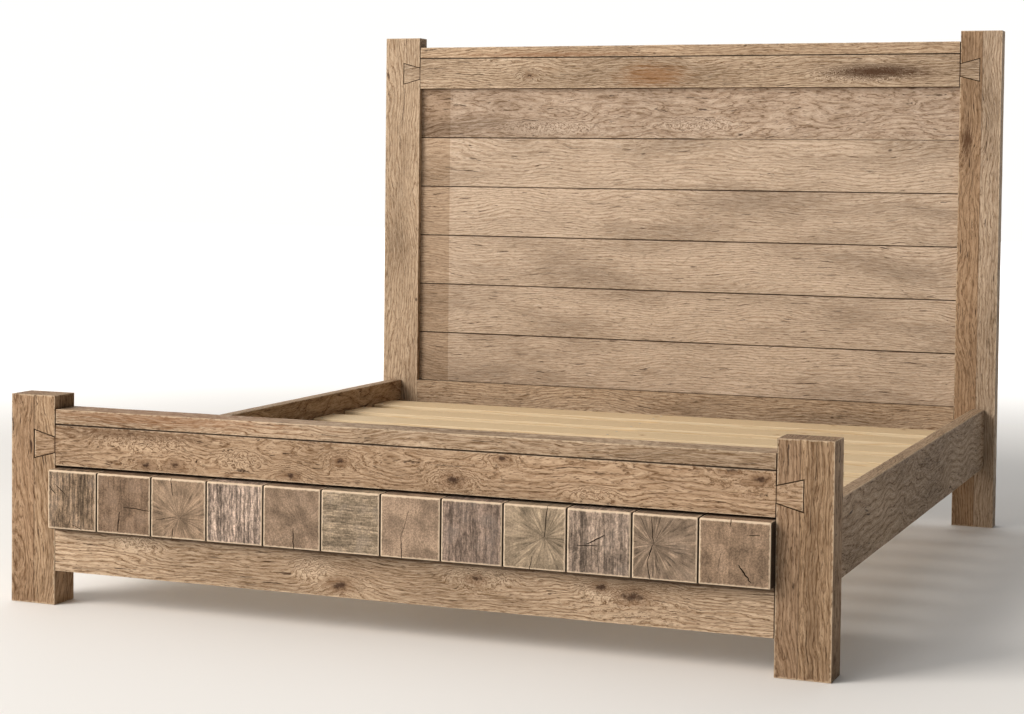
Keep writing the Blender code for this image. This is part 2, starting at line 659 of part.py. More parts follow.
def levelling_stem(number, y, parent):
    """The threaded stem, its lower end swivelling in the pad, with a hexagon for a spanner."""
    tip = PAD_HEIGHT - PIVOT_LENGTH + GAP
    profile = [
        (0, tip),
        (PIVOT_RADIUS, tip),
        (PIVOT_RADIUS, COLLAR_BOTTOM + GAP),
        (STEM_RADIUS, COLLAR_BOTTOM + GAP),
        (STEM_RADIUS, STEM_TOP),
        (0, STEM_TOP),
    ]
    solid = turned(profile, (0, y, 0))
    made = piece(f"levelling_stem_{number}", solid, STEEL_LOOK, parent, origin=(0, y, COLLAR_BOTTOM))
    collar = bmesh.new()
    corner = COLLAR_ACROSS_FLATS / 2 / math.cos(math.pi / 6)
    middle = Matrix.Translation((0, y, (COLLAR_BOTTOM + COLLAR_TOP) / 2))
    bmesh.ops.create_cone(collar, cap_ends=True, segments=6, radius1=corner, radius2=corner,
                          depth=COLLAR_HEIGHT, matrix=middle)
    tool(made, collar, parent, "UNION")
    smooth(made)


def mattress_support():
    parent = group("mattress_support", (0, 0, BEAM_BOTTOM))
    slats(parent)
    centre_beam(parent)
    for index in range(LEG_COUNT):
        y = FOOT_BACK + BED_LENGTH * (index + 1) / (LEG_COUNT + 1)
        centre_leg(index + 1, y, parent)
        leg_nut(index + 1, y, parent)
        levelling_pad(index + 1, y, parent)
        levelling_stem(index + 1, y, parent)


clear_scene()
footboard()
headboard()
side_rails()
mattress_support()
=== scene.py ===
"""The looks of a rustic oak bed frame: brushed boards, end-grain blocks, pine slats, fittings.

The CAD frame gives every place. Oak and pine timbers and the steel plates are copies of the CAD
solids with worn or softened arrises; the end-grain blocks, feet and screws are modelled from
primitives, and every finish is made of nodes.
"""
import json
import math
import random
from contextlib import contextmanager
from functools import partial

import bmesh
import bpy
from mathutils import Matrix, Vector, noise

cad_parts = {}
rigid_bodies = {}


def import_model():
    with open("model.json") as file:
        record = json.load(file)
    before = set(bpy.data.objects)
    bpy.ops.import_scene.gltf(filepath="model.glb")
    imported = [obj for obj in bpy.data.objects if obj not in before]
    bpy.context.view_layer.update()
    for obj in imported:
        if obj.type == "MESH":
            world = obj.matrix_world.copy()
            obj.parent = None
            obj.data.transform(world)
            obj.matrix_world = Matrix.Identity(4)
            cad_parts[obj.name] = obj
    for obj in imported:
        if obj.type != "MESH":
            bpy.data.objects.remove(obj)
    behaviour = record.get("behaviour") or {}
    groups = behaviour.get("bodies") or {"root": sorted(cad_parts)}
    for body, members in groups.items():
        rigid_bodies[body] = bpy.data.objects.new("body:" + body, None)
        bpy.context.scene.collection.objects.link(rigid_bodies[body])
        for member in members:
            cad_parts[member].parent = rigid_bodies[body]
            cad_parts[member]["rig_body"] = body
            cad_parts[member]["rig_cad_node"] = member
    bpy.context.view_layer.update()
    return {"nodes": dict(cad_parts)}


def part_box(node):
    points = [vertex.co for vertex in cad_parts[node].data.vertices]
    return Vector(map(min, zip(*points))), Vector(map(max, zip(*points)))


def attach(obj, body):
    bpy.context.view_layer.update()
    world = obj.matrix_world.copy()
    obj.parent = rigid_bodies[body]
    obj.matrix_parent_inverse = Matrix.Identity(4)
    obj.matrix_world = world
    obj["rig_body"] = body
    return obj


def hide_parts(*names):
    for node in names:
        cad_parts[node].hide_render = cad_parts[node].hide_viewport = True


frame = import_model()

MM = 0.001
X, Y, Z = 0, 1, 2
QUARTER = math.pi / 2
SIDES = ("left", "right")
ENDS = ("foot", "head")
SMOOTH = {"interpolation_type": "SMOOTHSTEP"}
COLOURS = {"data_type": "RGBA", "output": 2}
MULTIPLIED = {**COLOURS, "blend_type": "MULTIPLY"}
TOUCHING = 0.05 * MM


# Nodes and colours

def linear(code):
    """An sRGB hex colour as the linear colour that a shader takes."""
    parts = [int(code[i:i + 2], 16) / 255 for i in (1, 3, 5)]
    curve = [c / 12.92 if c <= 0.04045 else ((c + 0.055) / 1.055) ** 2.4 for c in parts]
    return (*curve, 1.0)


def add_node(material, kind, inputs=(), output=0, stops=None, **settings):
    """Adds a node with its settings, fills or links its inputs, and gives one of its outputs.

    The kind of a maths node is followed by its operation; inputs are by name or in their order.
    """
    kind, _, operation = kind.partition(" ")
    node = material.node_tree.nodes.new("ShaderNode" + kind)
    if operation:
        node.operation = operation
    for name, value in settings.items():
        setattr(node, name, value)
    for socket, value in inputs.items() if isinstance(inputs, dict) else enumerate(inputs):
        if isinstance(value, bpy.types.NodeSocket):
            material.node_tree.links.new(value, node.inputs[socket])
        else:
            node.inputs[socket].default_value = value
    if stops:
        elements = node.color_ramp.elements
        while len(elements) < len(stops):
            elements.new(0.5)
        for element, (position, colour) in zip(elements, stops):
            element.position = position
            element.color = colour
    return node.outputs[output] if node.outputs else None


def name_seed(name):
    """A number that is different for each numbered piece."""
    return 3.7 * sum(ord(letter) for letter in name[-14:])


def new_material(name):
    """An empty material, add_node for it, and its Object coordinates."""
    material = bpy.data.materials.new(name)
    material.use_nodes = True
    material.node_tree.nodes.clear()
    add = partial(add_node, material)
    return material, add, add("TexCoord", output=3)


def finish_material(material, inputs, height=None, depth=0.0):
    """Adds the shader, with bump of a depth in metres where a height is given, and the output."""
    if height is not None:
        inputs["Normal"] = add_node(material, "Bump", {"Height": height, "Distance": depth})
    shader = add_node(material, "BsdfPrincipled", inputs)
    add_node(material, "OutputMaterial", {"Surface": shader})
    return material


def grey(value):
    return (value, value, value, 1.0)


def nearness_to_arris(add, point, low, high, reaches=(1.5 * MM, 7 * MM)):
    """From 0 to 1 within a few millimetres of a box's edges, broken up by noise."""
    off = add("VectorMath SUBTRACT", (point, tuple((low + high) / 2)))
    off = add("VectorMath ABSOLUTE", (off,))
    left = add("VectorMath SUBTRACT", (tuple((high - low) / 2), off))
    x, y, z = add("SeparateXYZ", (left,)).node.outputs
    pairs = [add("Math MAXIMUM", pair) for pair in ((x, y), (y, z), (x, z))]
    second = add("Math MINIMUM", pairs[:2])
    second = add("Math MINIMUM", (second, pairs[2]))
    rough = add("TexNoise", {"Vector": point, "Scale": 90.0, "Detail": 3.0})
    reach = add("MapRange", (rough, 0.3, 0.7, *reaches), **SMOOTH)
    ratio = add("Math DIVIDE", (second, reach))
    return add("MapRange", (ratio, 0.35, 1.0, 1.0, 0.0), **SMOOTH)


def radii_away(add, point, front, x, z, long, tall):
    """How many radii a point is from the centre of an oval spot on a timber's front."""
    off = add("VectorMath SUBTRACT", (point, (x, front, z)))
    off = add("VectorMath MULTIPLY", (off, (1.0 / long, 2.0, 1.0 / tall)))
    return add("VectorMath LENGTH", (off,), output=1)


def distance_from_plane(add, value, where):
    away = add("Math SUBTRACT", (value, where))
    return add("Math ABSOLUTE", (away,))


def streaks(add, place, stretch, detail=2.0, roughness=0.5):
    """Noise drawn out along one axis; stretch says how many streaks fit in a metre each way."""
    place = add("VectorMath MULTIPLY", (place, stretch))
    return add("TexNoise", {"Vector": place, "Scale": 1.0, "Detail": detail, "Roughness": roughness})


# Grain directions: the turn that brings the grain of a timber to the X axis of its pattern
ALONG_X = (0.0, 0.0, 0.0)
ALONG_Y = (0.0, 0.0, -QUARTER)
ALONG_Z = (0.0, QUARTER, 0.0)

OAK = {
    "dark": "#573A20",
    "line": "#836545",
    "mid": "#B2977B",
    "pale": "#D3BA9E",
    "pore": "#55391F",
    "knot": "#351D0D",
    "halo": "#76563A",
    "worn": "#D2BB9E",
}


def brushed_oak(name, low, high, grain=ALONG_X, pith=(0.0, 0.08, -0.02), tilt=0.02, ring=8.0,
                wander=1.0, tone="#FFFFFF", lift=0.90, brush=1.0, knots=(), burls=(), stains=(),
                seed=0.0, joint=None, seams=()):
    """Flat-sawn oak, wire-brushed and oiled: brushing digs out the soft early wood.

    The eye sees pale tan late wood between darker grooves that run in long flames, short dark
    pores, brown knots that push the rings aside, and arrises rubbed pale.
    """
    material, add, point = new_material(name)
    place = add("Mapping", {"Vector": point, "Rotation": grain, "Location": (seed, -pith[1], -pith[2])})
    # Slow bends of the trunk, 300 mm long and up to 30 mm sideways
    bend = add("TexNoise", {"Vector": place, "Scale": 3.2, "Detail": 1.5}, output=1)
    bend = add("VectorMath SUBTRACT", (bend, (0.5, 0.5, 0.5)))
    bend = add("VectorMath MULTIPLY", (bend, (0.0, 0.07, 0.06)))
    bent = add("VectorMath ADD", (place, bend))
    tilted = add("Mapping", {"Vector": bent, "Rotation": (0.0, tilt, tilt * 0.6)})
    drawn = add("VectorMath MULTIPLY", (tilted, (0.20, 1.0, 1.0)))
    patch = add("TexNoise", {"Vector": drawn, "Scale": 9.0, "Detail": 3.0, "Roughness": 0.55})

    # Knots: how many radii away the nearest one is
    near = None
    if knots:
        flat = add("VectorMath MULTIPLY", (point, (0.5, 0.0, 1.0)))
        for x, z, radius in knots:
            gap = add("VectorMath DISTANCE", (flat, (0.5 * x, 0.0, z)), output=1)
            gap = add("Math DIVIDE", (gap, radius * MM))
            if near is not None:
                gap = add("Math MINIMUM", (near, gap))
            near = gap
        ragged = add("TexNoise", {"Vector": point, "Scale": 75.0, "Detail": 4.0, "Roughness": 0.7})
        ragged = add("MapRange", (ragged, 0.2, 0.8, -0.55, 0.55), **SMOOTH)
        near = add("Math ADD", (near, ragged))

    # Distance from the pith; figure bends it by up to 12 mm in the wilder patches
    across = add("VectorMath MULTIPLY", (tilted, (0.0, 1.0, 1.0)))
    reach = add("VectorMath LENGTH", (across,), output=1)
    figure = add("TexNoise", {"Vector": drawn, "Scale": 17.0, "Detail": 5.0, "Roughness": 0.58})
    wild = add("MapRange", (patch, 0.38, 0.66, 14 * MM * wander, 46 * MM * wander), **SMOOTH)
    figure = add("Math MULTIPLY", (figure, wild))
    reach = add("Math ADD", (reach, figure))
    # Burls: patches where the fibres curl, 12 mm to a curl
    curled = None
    for burl in burls:
        spot = radii_away(add, point, low.y, *burl)
        spot = add("Math MULTIPLY_ADD", (patch, 0.9, spot))
        spot = add("MapRange", (spot, 0.8, 1.5, 1.0, 0.0), **SMOOTH)
        if curled is not None:
            spot = add("Math MAXIMUM", (curled, spot))
        curled = spot
    if curled is not None:
        curl = add("TexNoise", {"Vector": tilted, "Scale": 85.0})
        curl = add("Math MULTIPLY", (curl, curled))
        reach = add("Math MULTIPLY_ADD", (curl, 34 * MM, reach))
    if near is not None:
        swell = add("MapRange", (near, 0.0, 5.5, 22 * MM, 0.0), **SMOOTH)
        reach = add("Math ADD", (reach, swell))
    rings = add("Math DIVIDE", (reach, ring * MM))
    rings = add("Math FRACT", (rings,))

    # Fibres, pores and drying checks follow the rings: their pattern is drawn along the grain,
    # over the distance from the pith and, more weakly, across the board
    parts = add("SeparateXYZ", (tilted,)).node
    flow = add("CombineXYZ", (parts.outputs[0], reach, parts.outputs[2]))
    # Fibres 2.5 mm across and 45 mm long
    fibre = streaks(add, flow, (22.0, 400.0, 150.0), 5.0, 0.74)
    # Pores 2 mm across and 20 mm long
    pores = streaks(add, flow, (52.0, 480.0, 300.0))
    pores = add("MapRange", (pores, 0.55, 0.70), **SMOOTH)
    # Drying checks 3 mm across and 90 mm long, dark and thin
    check = streaks(add, flow, (11.0, 210.0, 110.0), 3.0)
    check = add("MapRange", (check, 0.665, 0.72), **SMOOTH)

    dark, line, mid, pale = (linear(OAK[key]) for key in ("dark", "line", "mid", "pale"))
    knot = linear(OAK["knot"])
    colour = add("ValToRGB", (fibre,), stops=[(0.32, dark), (0.43, line), (0.53, mid), (0.68, pale)])
    bands = add("ValToRGB", (rings,),
                stops=[(0.0, mid), (0.07, dark), (0.20, mid), (0.60, pale), (1.0, mid)])
    shown = add("MapRange", (patch, 0.34, 0.60, 0.18, 0.55), **SMOOTH)
    if curled is not None:
        shown = add("Math MULTIPLY_ADD", (curled, 0.55, shown), use_clamp=True)
    colour = add("Mix", {0: shown, 6: colour, 7: bands}, **COLOURS)
    colour = add("Mix", {0: brush, 6: mid, 7: colour}, **COLOURS)
    shade = add("ValToRGB", (patch,), stops=[(0.28, grey(0.74)), (0.50, grey(1.0)), (0.74, grey(1.14))])
    colour = add("Mix", {0: 1.0, 6: colour, 7: shade}, **MULTIPLIED)
    pore = add("Math MULTIPLY", (pores, 0.65 * brush))
    split = add("Math MULTIPLY", (check, 0.8))
    # Pin knots 5 mm across, one for every 150 mm or so
    place = add("VectorMath MULTIPLY", (tilted, (5.0, 9.0, 9.0)))
    pins = add("TexVoronoi", {"Vector": place, "Scale": 1.0})
    pins = add("MapRange", (pins, 0.015, 0.05, 0.8, 0.0), **SMOOTH)
    layers = [(pore, linear(OAK["pore"])), (split, knot), (pins, knot)]
    if near is not None:
        halo = add("MapRange", (near, 0.8, 2.6, 0.55, 0.0), **SMOOTH)
        eye = add("MapRange", (near, 0.2, 1.05, 0.85, 0.0), **SMOOTH)
        layers += [(halo, linear(OAK["halo"])), (eye, knot)]
    for share, layer in layers:
        colour = add("Mix", {0: share, 6: colour, 7: layer}, **COLOURS)
    for *oval, code, strength in stains:
        spot = radii_away(add, point, low.y, *oval)
        spot = add("Math MULTIPLY_ADD", (fibre, 2.4, spot))
        spot = add("MapRange", (spot, 1.35, 2.30, strength, 0.0), **SMOOTH)
        colour = add("Mix", {0: spot, 6: colour, 7: linear(code)}, **COLOURS)
    ways = add("SeparateXYZ", (point,)).node.outputs
    if joint is not None:
        # Two shades side by side: glued strips on the posts, a darker band at the left end of each plank
        axis, where, shades, gap = joint
        side = add("MapRange", (ways[axis], where - 0.4 * MM, where + 0.4 * MM), **SMOOTH)
        tints = add("Mix", {0: side, 6: linear(shades[0]), 7: linear(shades[1])}, **COLOURS)
        colour = add("Mix", {0: 1.0, 6: colour, 7: tints}, **MULTIPLIED)
        away = distance_from_plane(add, ways[axis], where)
        seam = add("MapRange", (away, 0.5 * MM, 1.8 * MM, gap, 0.0), **SMOOTH)
        colour = add("Mix", {0: seam, 6: colour, 7: knot}, **COLOURS)
    tint = tuple(lift * part for part in linear(tone)[:3]) + (1.0,)
    colour = add("Mix", {0: 1.0, 6: colour, 7: tint}, **MULTIPLIED)
    rubbed = add("Math MULTIPLY", (nearness_to_arris(add, point, low, high), 0.5))
    colour = add("Mix", {0: rubbed, 6: colour, 7: linear(OAK["worn"])}, **COLOURS)
    # Dark lines along the joints with other timbers, broken by the fibres: dirt in the joints, and painted
    # shadow where the block row stands proud over the bottom rail
    for axis, where, width, strength, fade in seams:
        width *= MM
        away = distance_from_plane(add, ways[axis], where)
        away = add("Math MULTIPLY_ADD", (patch, width, away))
        seam = add("MapRange", (away, 0.7 * width, 1.7 * width, strength, 0.0), **SMOOTH)
        if fade:
            worn = add("MapRange", (ways[X], *fade, 1.0, 0.4), **SMOOTH)
            seam = add("Math MULTIPLY", (seam, worn))
        colour = add("Mix", {0: seam, 6: colour, 7: knot}, **COLOURS)

    rough = add("MapRange", (fibre, 0.3, 0.7, 0.74, 0.56))
    ridges = add("ValToRGB", (rings,),
                 stops=[(0.0, grey(0.4)), (0.08, grey(0.0)), (0.25, grey(0.75)), (1.0, grey(1.0))])
    height = add("Math MULTIPLY_ADD", (ridges, 0.35, fibre))
    height = add("Math MULTIPLY_ADD", (pores, -0.45, height))
    height = add("Math MULTIPLY_ADD", (check, -1.2, height))
    return finish_material(material, {"Base Color": colour, "Roughness": rough, "IOR": 1.45,
                                      "Specular IOR Level": 0.22}, height, 1.1 * MM)


def sawn_end_grain(name, low, high, pith, tone, rays, ribs, turn, rings, grime):
    """End-grain oak, sawn across and left rough: saw marks, growth rings and medullary rays.

    Weather and dust grey it, rays fan out from the pith as pale and dark streaks, and the saw
    leaves ribs; the chamfer round each face is rubbed pale, and painted shade darkens the joints between
    blocks.
    """
    material, add, point = new_material(name)
    off = add("VectorMath SUBTRACT", (point, (pith[0], low.y, pith[1])))
    off = add("VectorMath MULTIPLY", (off, (1.0, 0.05, 1.0)))
    radius = add("VectorMath LENGTH", (off,), output=1)
    # Broad streaks round the pith, and some eighty thin rays that come and go on their way out
    way = add("VectorMath NORMALIZE", (off,))
    lift = add("Math MULTIPLY_ADD", (radius, 7.0, name_seed(name)))
    lift = add("CombineXYZ", {1: lift})
    fans = []
    for spread, rise, roughness in ((5.0, 1.0, 0.5), (12.0, 2.6, 0.6)):
        spun = add("VectorMath MULTIPLY", (way, (spread, spread, spread)))
        lifted = add("VectorMath MULTIPLY", (lift, (1.0, rise, 1.0)))
        spun = add("VectorMath ADD", (spun, lifted))
        fans.append(add("TexNoise", {"Vector": spun, "Scale": 1.0, "Roughness": roughness}))
    fan, ray = fans
    # Growth rings, 3 mm apart, a little wavy
    wave = add("TexWave", {"Vector": off, "Scale": 0.314 / (3.2 * MM), "Distortion": 5.0, "Detail": 2.0,
                           "Detail Scale": 0.35},
               output=1, wave_type="RINGS", rings_direction="Y", wave_profile="SIN")
    # Saw ribs, 6 mm apart with finer ones between, 150 mm long
    turned = add("Mapping", {"Vector": point, "Rotation": (0.0, turn, 0.0)})
    rib = streaks(add, turned, (160.0, 40.0, 7.0), 4.0, 0.72)
    fine = streaks(add, turned, (256.0, 40.0, 77.0), 3.0)
    speck = add("TexNoise", {"Vector": point, "Scale": 260.0, "Detail": 4.0, "Roughness": 0.65})
    cloud = add("TexNoise", {"Vector": point, "Scale": 24.0, "Detail": 4.0})

    fan_shade = add("MapRange", (fan, 0.36, 0.64, 1.0 - 0.22 * rays, 1.0 + 0.16 * rays), **SMOOTH)
    pale_ray = add("MapRange", (ray, 0.55, 0.66, 1.0, 1.0 + 0.55 * rays), **SMOOTH)
    dark_ray = add("MapRange", (ray, 0.33, 0.45, 1.0 - 0.62 * rays), **SMOOTH)
    ray_shade = add("Math MULTIPLY", (pale_ray, dark_ray))
    fan_shade = add("Math MULTIPLY", (fan_shade, ray_shade))
    faded = add("MapRange", (radius, 45 * MM, 120 * MM, 1.0, 0.4), **SMOOTH)
    shade = add("Mix", {0: faded, 2: 1.0, 3: fan_shade})
    for shading in ((cloud, 0.3, 0.7, 0.66, 1.26),
                    (wave, 0.0, 1.0, 1.0 - 0.20 * rings, 1.0 + 0.12 * rings),
                    (rib, 0.36, 0.64, 1.0 - 0.66 * ribs, 1.0 + 0.60 * ribs),
                    (fine, 0.34, 0.66, 1.0 - 0.50 * ribs, 1.0 + 0.40 * ribs),
                    (speck, 0.34, 0.66, 0.70 + 0.12 * rays, 1.28 - 0.12 * rays)):
        part = add("MapRange", shading, **SMOOTH)
        shade = add("Math MULTIPLY", (shade, part))
    colour = add("VectorMath SCALE", {0: linear(tone)[:3], "Scale": shade})
    dust = add("MapRange", {0: cloud, 1: 0.46, 2: 0.70, 4: grime}, **SMOOTH)
    rubbed = nearness_to_arris(add, point, low, high, (5.5 * MM, 8 * MM))
    rubbed = add("Math MULTIPLY", (rubbed, 0.92))
    # Painted shade in the joints: the sides and the underside behind the chamfer are painted nearly black,
    # where shade falls between and under the blocks
    across, _, up = add("SeparateXYZ", (point,)).node.outputs
    half = (high.x - low.x) / 2
    wide = add("Math SUBTRACT", (across, low.x + half))
    # The row's left end is in the open: its outer side gets no painted shade
    both_sides = "MAXIMUM" if name.startswith("end_grain_block_01") else "ABSOLUTE"
    wide = add("Math " + both_sides, (wide, 0.0))
    wide = add("MapRange", (wide, half - 2.8 * MM, half - 1.4 * MM), **SMOOTH)
    under = add("MapRange", (up, low.z + 1.2 * MM, low.z + 2.6 * MM, 1.0, 0.0), **SMOOTH)
    joint = add("Math MAXIMUM", (wide, under))
    joint = add("Math MULTIPLY", (joint, 0.9))
    # Grey dust, pale rubbed chamfers, and the near-black painted shade in the joints
    for share, code in ((dust, "#635B55"), (rubbed, "#DCC5A9"), (joint, "#1E130B")):
        colour = add("Mix", {0: share, 6: colour, 7: linear(code)}, **COLOURS)

    height = add("Math MULTIPLY", (ray, 2.2 * rays))
    height = add("Math MULTIPLY_ADD", (rib, 1.8 * ribs, height))
    height = add("Math MULTIPLY_ADD", (speck, 0.6, height))
    rough = add("MapRange", (cloud, 0.3, 0.7, 0.85, 0.68))
    return finish_material(material, {"Base Color": colour, "Roughness": rough, "IOR": 1.45,
                                      "Specular IOR Level": 0.15}, height, 1.2 * MM)


def cut_shade_and_dirt_oak():
    """Oak in open checks and along the eased edges of joints, black-brown: painted shade in these narrow
    hollows, with dust and old oil.
    """
    material, add, point = new_material("oak_cut_shade_and_dirt")
    fibre = add("TexNoise", {"Vector": point, "Scale": 300.0})
    colour = add("Mix", {0: fibre, 6: linear("#1E130B"), 7: linear("#3A2617")}, **COLOURS)
    return finish_material(material, {"Base Color": colour, "Roughness": 0.9, "IOR": 1.45,
                                      "Specular IOR Level": 0.1}, fibre, 0.5 * MM)


def planed_pine(name, grain):
    """Pine, planed and left bare: pale yellow early wood with thin amber late-wood lines."""
    material, add, point = new_material(name)
    place = add("Mapping", {"Vector": point, "Rotation": grain, "Location": (0.0, 0.31, 0.17)})
    drawn = add("VectorMath MULTIPLY", (place, (0.12, 1.0, 1.0)))
    bend = add("TexNoise", {"Vector": drawn, "Scale": 9.0}, output=1)
    bend = add("VectorMath MULTIPLY", (bend, (0.0, 0.05, 0.05)))
    bent = add("VectorMath ADD", (drawn, bend))
    rings = add("TexWave", {"Vector": bent, "Scale": 0.314 / (6 * MM), "Distortion": 3.0, "Detail": 2.0,
                            "Detail Scale": 0.3},
                output=1, wave_type="RINGS", rings_direction="X", wave_profile="SAW")
    fibre = add("VectorMath MULTIPLY", (place, (0.03, 1.0, 1.0)))
    fibre = add("TexNoise", {"Vector": fibre, "Scale": 380.0, "Detail": 4.0})
    colour = add("ValToRGB", (rings,),
                 stops=[(0.0, linear("#C6A273")), (0.25, linear("#D9C09A")), (0.8, linear("#E0CBA8")),
                        (1.0, linear("#BC9566"))])
    body = add("ValToRGB", (fibre,), stops=[(0.3, linear("#CDB083")), (0.7, linear("#E6D3B2"))])
    colour = add("Mix", {0: 0.5, 6: colour, 7: body}, **COLOURS)
    # Knots on average every 250 mm, 12 mm across, with a paler ring where the fibres part
    knot = add("TexVoronoi", {"Vector": point, "Scale": 7.0})
    for reach, end, strength, code in ((0.05, 0.12, 0.5, "#A97B4A"), (0.035, 0.052, 0.85, "#6A4223")):
        spot = add("MapRange", (knot, reach, end, strength, 0.0), **SMOOTH)
        colour = add("Mix", {0: spot, 6: colour, 7: linear(code)}, **COLOURS)
    rough = add("MapRange", (fibre, 0.3, 0.7, 0.66, 0.54))
    height = add("Math MULTIPLY_ADD", (rings, 0.3, fibre))
    return finish_material(material, {"Base Color": colour, "Roughness": rough, "IOR": 1.45},
                           height, 0.3 * MM)


def zinc_plated_steel(name):
    """Mild steel, stamped or turned, then zinc plated: a cool, slightly cloudy satin metal."""
    material, add, point = new_material(name)
    cloud = add("TexNoise", {"Vector": point, "Scale": 140.0, "Detail": 4.0})
    scratch = add("VectorMath MULTIPLY", (point, (1.0, 1.0, 0.08)))
    scratch = add("TexNoise", {"Vector": scratch, "Scale": 1800.0})
    colour = add("ValToRGB", (cloud,),
                 stops=[(0.3, linear("#9A9C9B")), (0.6, linear("#BFC1BF")), (0.8, linear("#C9C7BE"))])
    rough = add("MapRange", (cloud, 0.3, 0.7, 0.32, 0.48))
    return finish_material(material, {"Base Color": colour, "Metallic": 1.0, "Roughness": rough},
                           scratch, 0.05 * MM)


def moulded_nylon(name):
    """Black nylon, moulded against a spark-eroded tool: fine matt stipple with a soft sheen."""
    material, add, point = new_material(name)
    stipple = add("TexNoise", {"Vector": point, "Scale": 2200.0})
    scuff = add("TexNoise", {"Vector": point, "Scale": 90.0, "Detail": 4.0})
    colour = add("ValToRGB", (scuff,), stops=[(0.4, linear("#1C1C1D")), (0.75, linear("#333335"))])
    rough = add("MapRange", (scuff, 0.3, 0.7, 0.5, 0.66))
    return finish_material(material, {"Base Color": colour, "Roughness": rough, "IOR": 1.53},
                           stipple, 0.06 * MM)


def studio_floor():
    """Seamless studio vinyl, matt and off-white, lit up to white away from the bed."""
    material, add, point = new_material("studio_floor_vinyl")
    cloud = add("TexNoise", {"Vector": point, "Scale": 0.6})
    colour = add("ValToRGB", (cloud,), stops=[(0.3, linear("#EDEBE8")), (0.7, linear("#F1EFEC"))])
    far = add("VectorMath LENGTH", (point,), output=1)
    far = add("MapRange", (far, 2.6, 8.0), **SMOOTH)
    return finish_material(material, {"Base Color": colour, "Roughness": 0.7, "Emission Strength": far,
                                      "Emission Color": linear("#FBFAF8")})


# Mesh helpers

def select_only(piece):
    bpy.ops.object.select_all(action="DESELECT")
    piece.select_set(True)
    bpy.context.view_layer.objects.active = piece


@contextmanager
def editing(piece):
    """Edit mode on one piece."""
    select_only(piece)
    bpy.ops.object.mode_set(mode="EDIT")
    yield
    bpy.ops.object.mode_set(mode="OBJECT")


def name_piece(piece, name):
    piece.name = name
    piece.data.name = name


def start_box(name, low, high):
    """A cube between two corners, its place and size in its mesh, alone selected."""
    bpy.ops.object.select_all(action="DESELECT")
    bpy.ops.mesh.primitive_cube_add(size=1.0, location=(low + high) / 2)
    piece = bpy.context.active_object
    name_piece(piece, name)
    piece.scale = high - low
    bpy.ops.object.transform_apply(location=True, rotation=True, scale=True)
    return piece


def duplicate(piece, name):
    """A copy with its own mesh, alone selected."""
    select_only(piece)
    bpy.ops.object.duplicate()
    name_piece(bpy.context.active_object, name)
    return bpy.context.active_object


def join(pieces):
    """Joins pieces into the first of them."""
    select_only(pieces[0])
    for piece in pieces[1:]:
        piece.select_set(True)
    if len(pieces) > 1:
        bpy.ops.object.join()
    return pieces[0]


def copy_of_node(node, name):
    """A CAD solid's shape as a new piece, its loose triangles merged into whole faces."""
    piece = duplicate(frame["nodes"][node], name)
    piece.parent = None
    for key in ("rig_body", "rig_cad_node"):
        del piece[key]
    piece.data.materials.clear()
    with editing(piece):
        bpy.ops.mesh.select_all(action="SELECT")
        bpy.ops.mesh.remove_doubles(threshold=0.02 * MM)
        bpy.ops.mesh.dissolve_limited(angle_limit=math.radians(1))
        bpy.ops.mesh.customdata_custom_splitnormals_clear()
    return piece


def choose(piece, mode, test):
    """In edit mode, selects only the edges or faces that pass a test."""
    bpy.ops.mesh.select_mode(type=mode)
    bpy.ops.mesh.select_all(action="DESELECT")
    solid = bmesh.from_edit_mesh(piece.data)
    for item in {"EDGE": solid.edges, "FACE": solid.faces}[mode]:
        if test(item):
            item.select = True
    solid.select_flush_mode()
    bmesh.update_edit_mesh(piece.data)


def cut_across(axis, places, pick=None):
    """In edit mode, cuts across an axis at each place, through the whole mesh or what pick selects."""
    normal = [0.0, 0.0, 0.0]
    normal[axis] = 1.0
    for place in places:
        if pick:
            pick()
        else:
            bpy.ops.mesh.select_all(action="SELECT")
        bpy.ops.mesh.bisect(plane_co=[place * part for part in normal], plane_no=normal)


def all_at(edge, axis, place):
    return all(abs(vert.co[axis] - place) < TOUCHING for vert in edge.verts)


def on_outer_arris(edge, low, high):
    """Whether an edge runs along one of the twelve edges of a box."""
    return sum(all_at(edge, axis, limit) for axis in range(3) for limit in (low[axis], high[axis])) >= 2


def apply_modifier(piece, kind, **settings):
    select_only(piece)
    modifier = piece.modifiers.new(kind.lower(), kind)
    for name, value in settings.items():
        setattr(modifier, name, value)
    bpy.ops.object.modifier_apply(modifier=modifier.name)


def combine(piece, tool, operation, **settings):
    apply_modifier(piece, "BOOLEAN", operation=operation, solver="EXACT", object=tool, **settings)
    bpy.data.objects.remove(tool, do_unlink=True)


def knocks(name, size):
    """The soft noise that wears an arris unevenly; size is the length of a dent."""
    texture = bpy.data.textures.new(name, "CLOUDS")
    texture.noise_scale = size
    texture.noise_depth = 2
    return texture


ARRIS_KNOCKS = knocks("arris_knocks", 45 * MM)


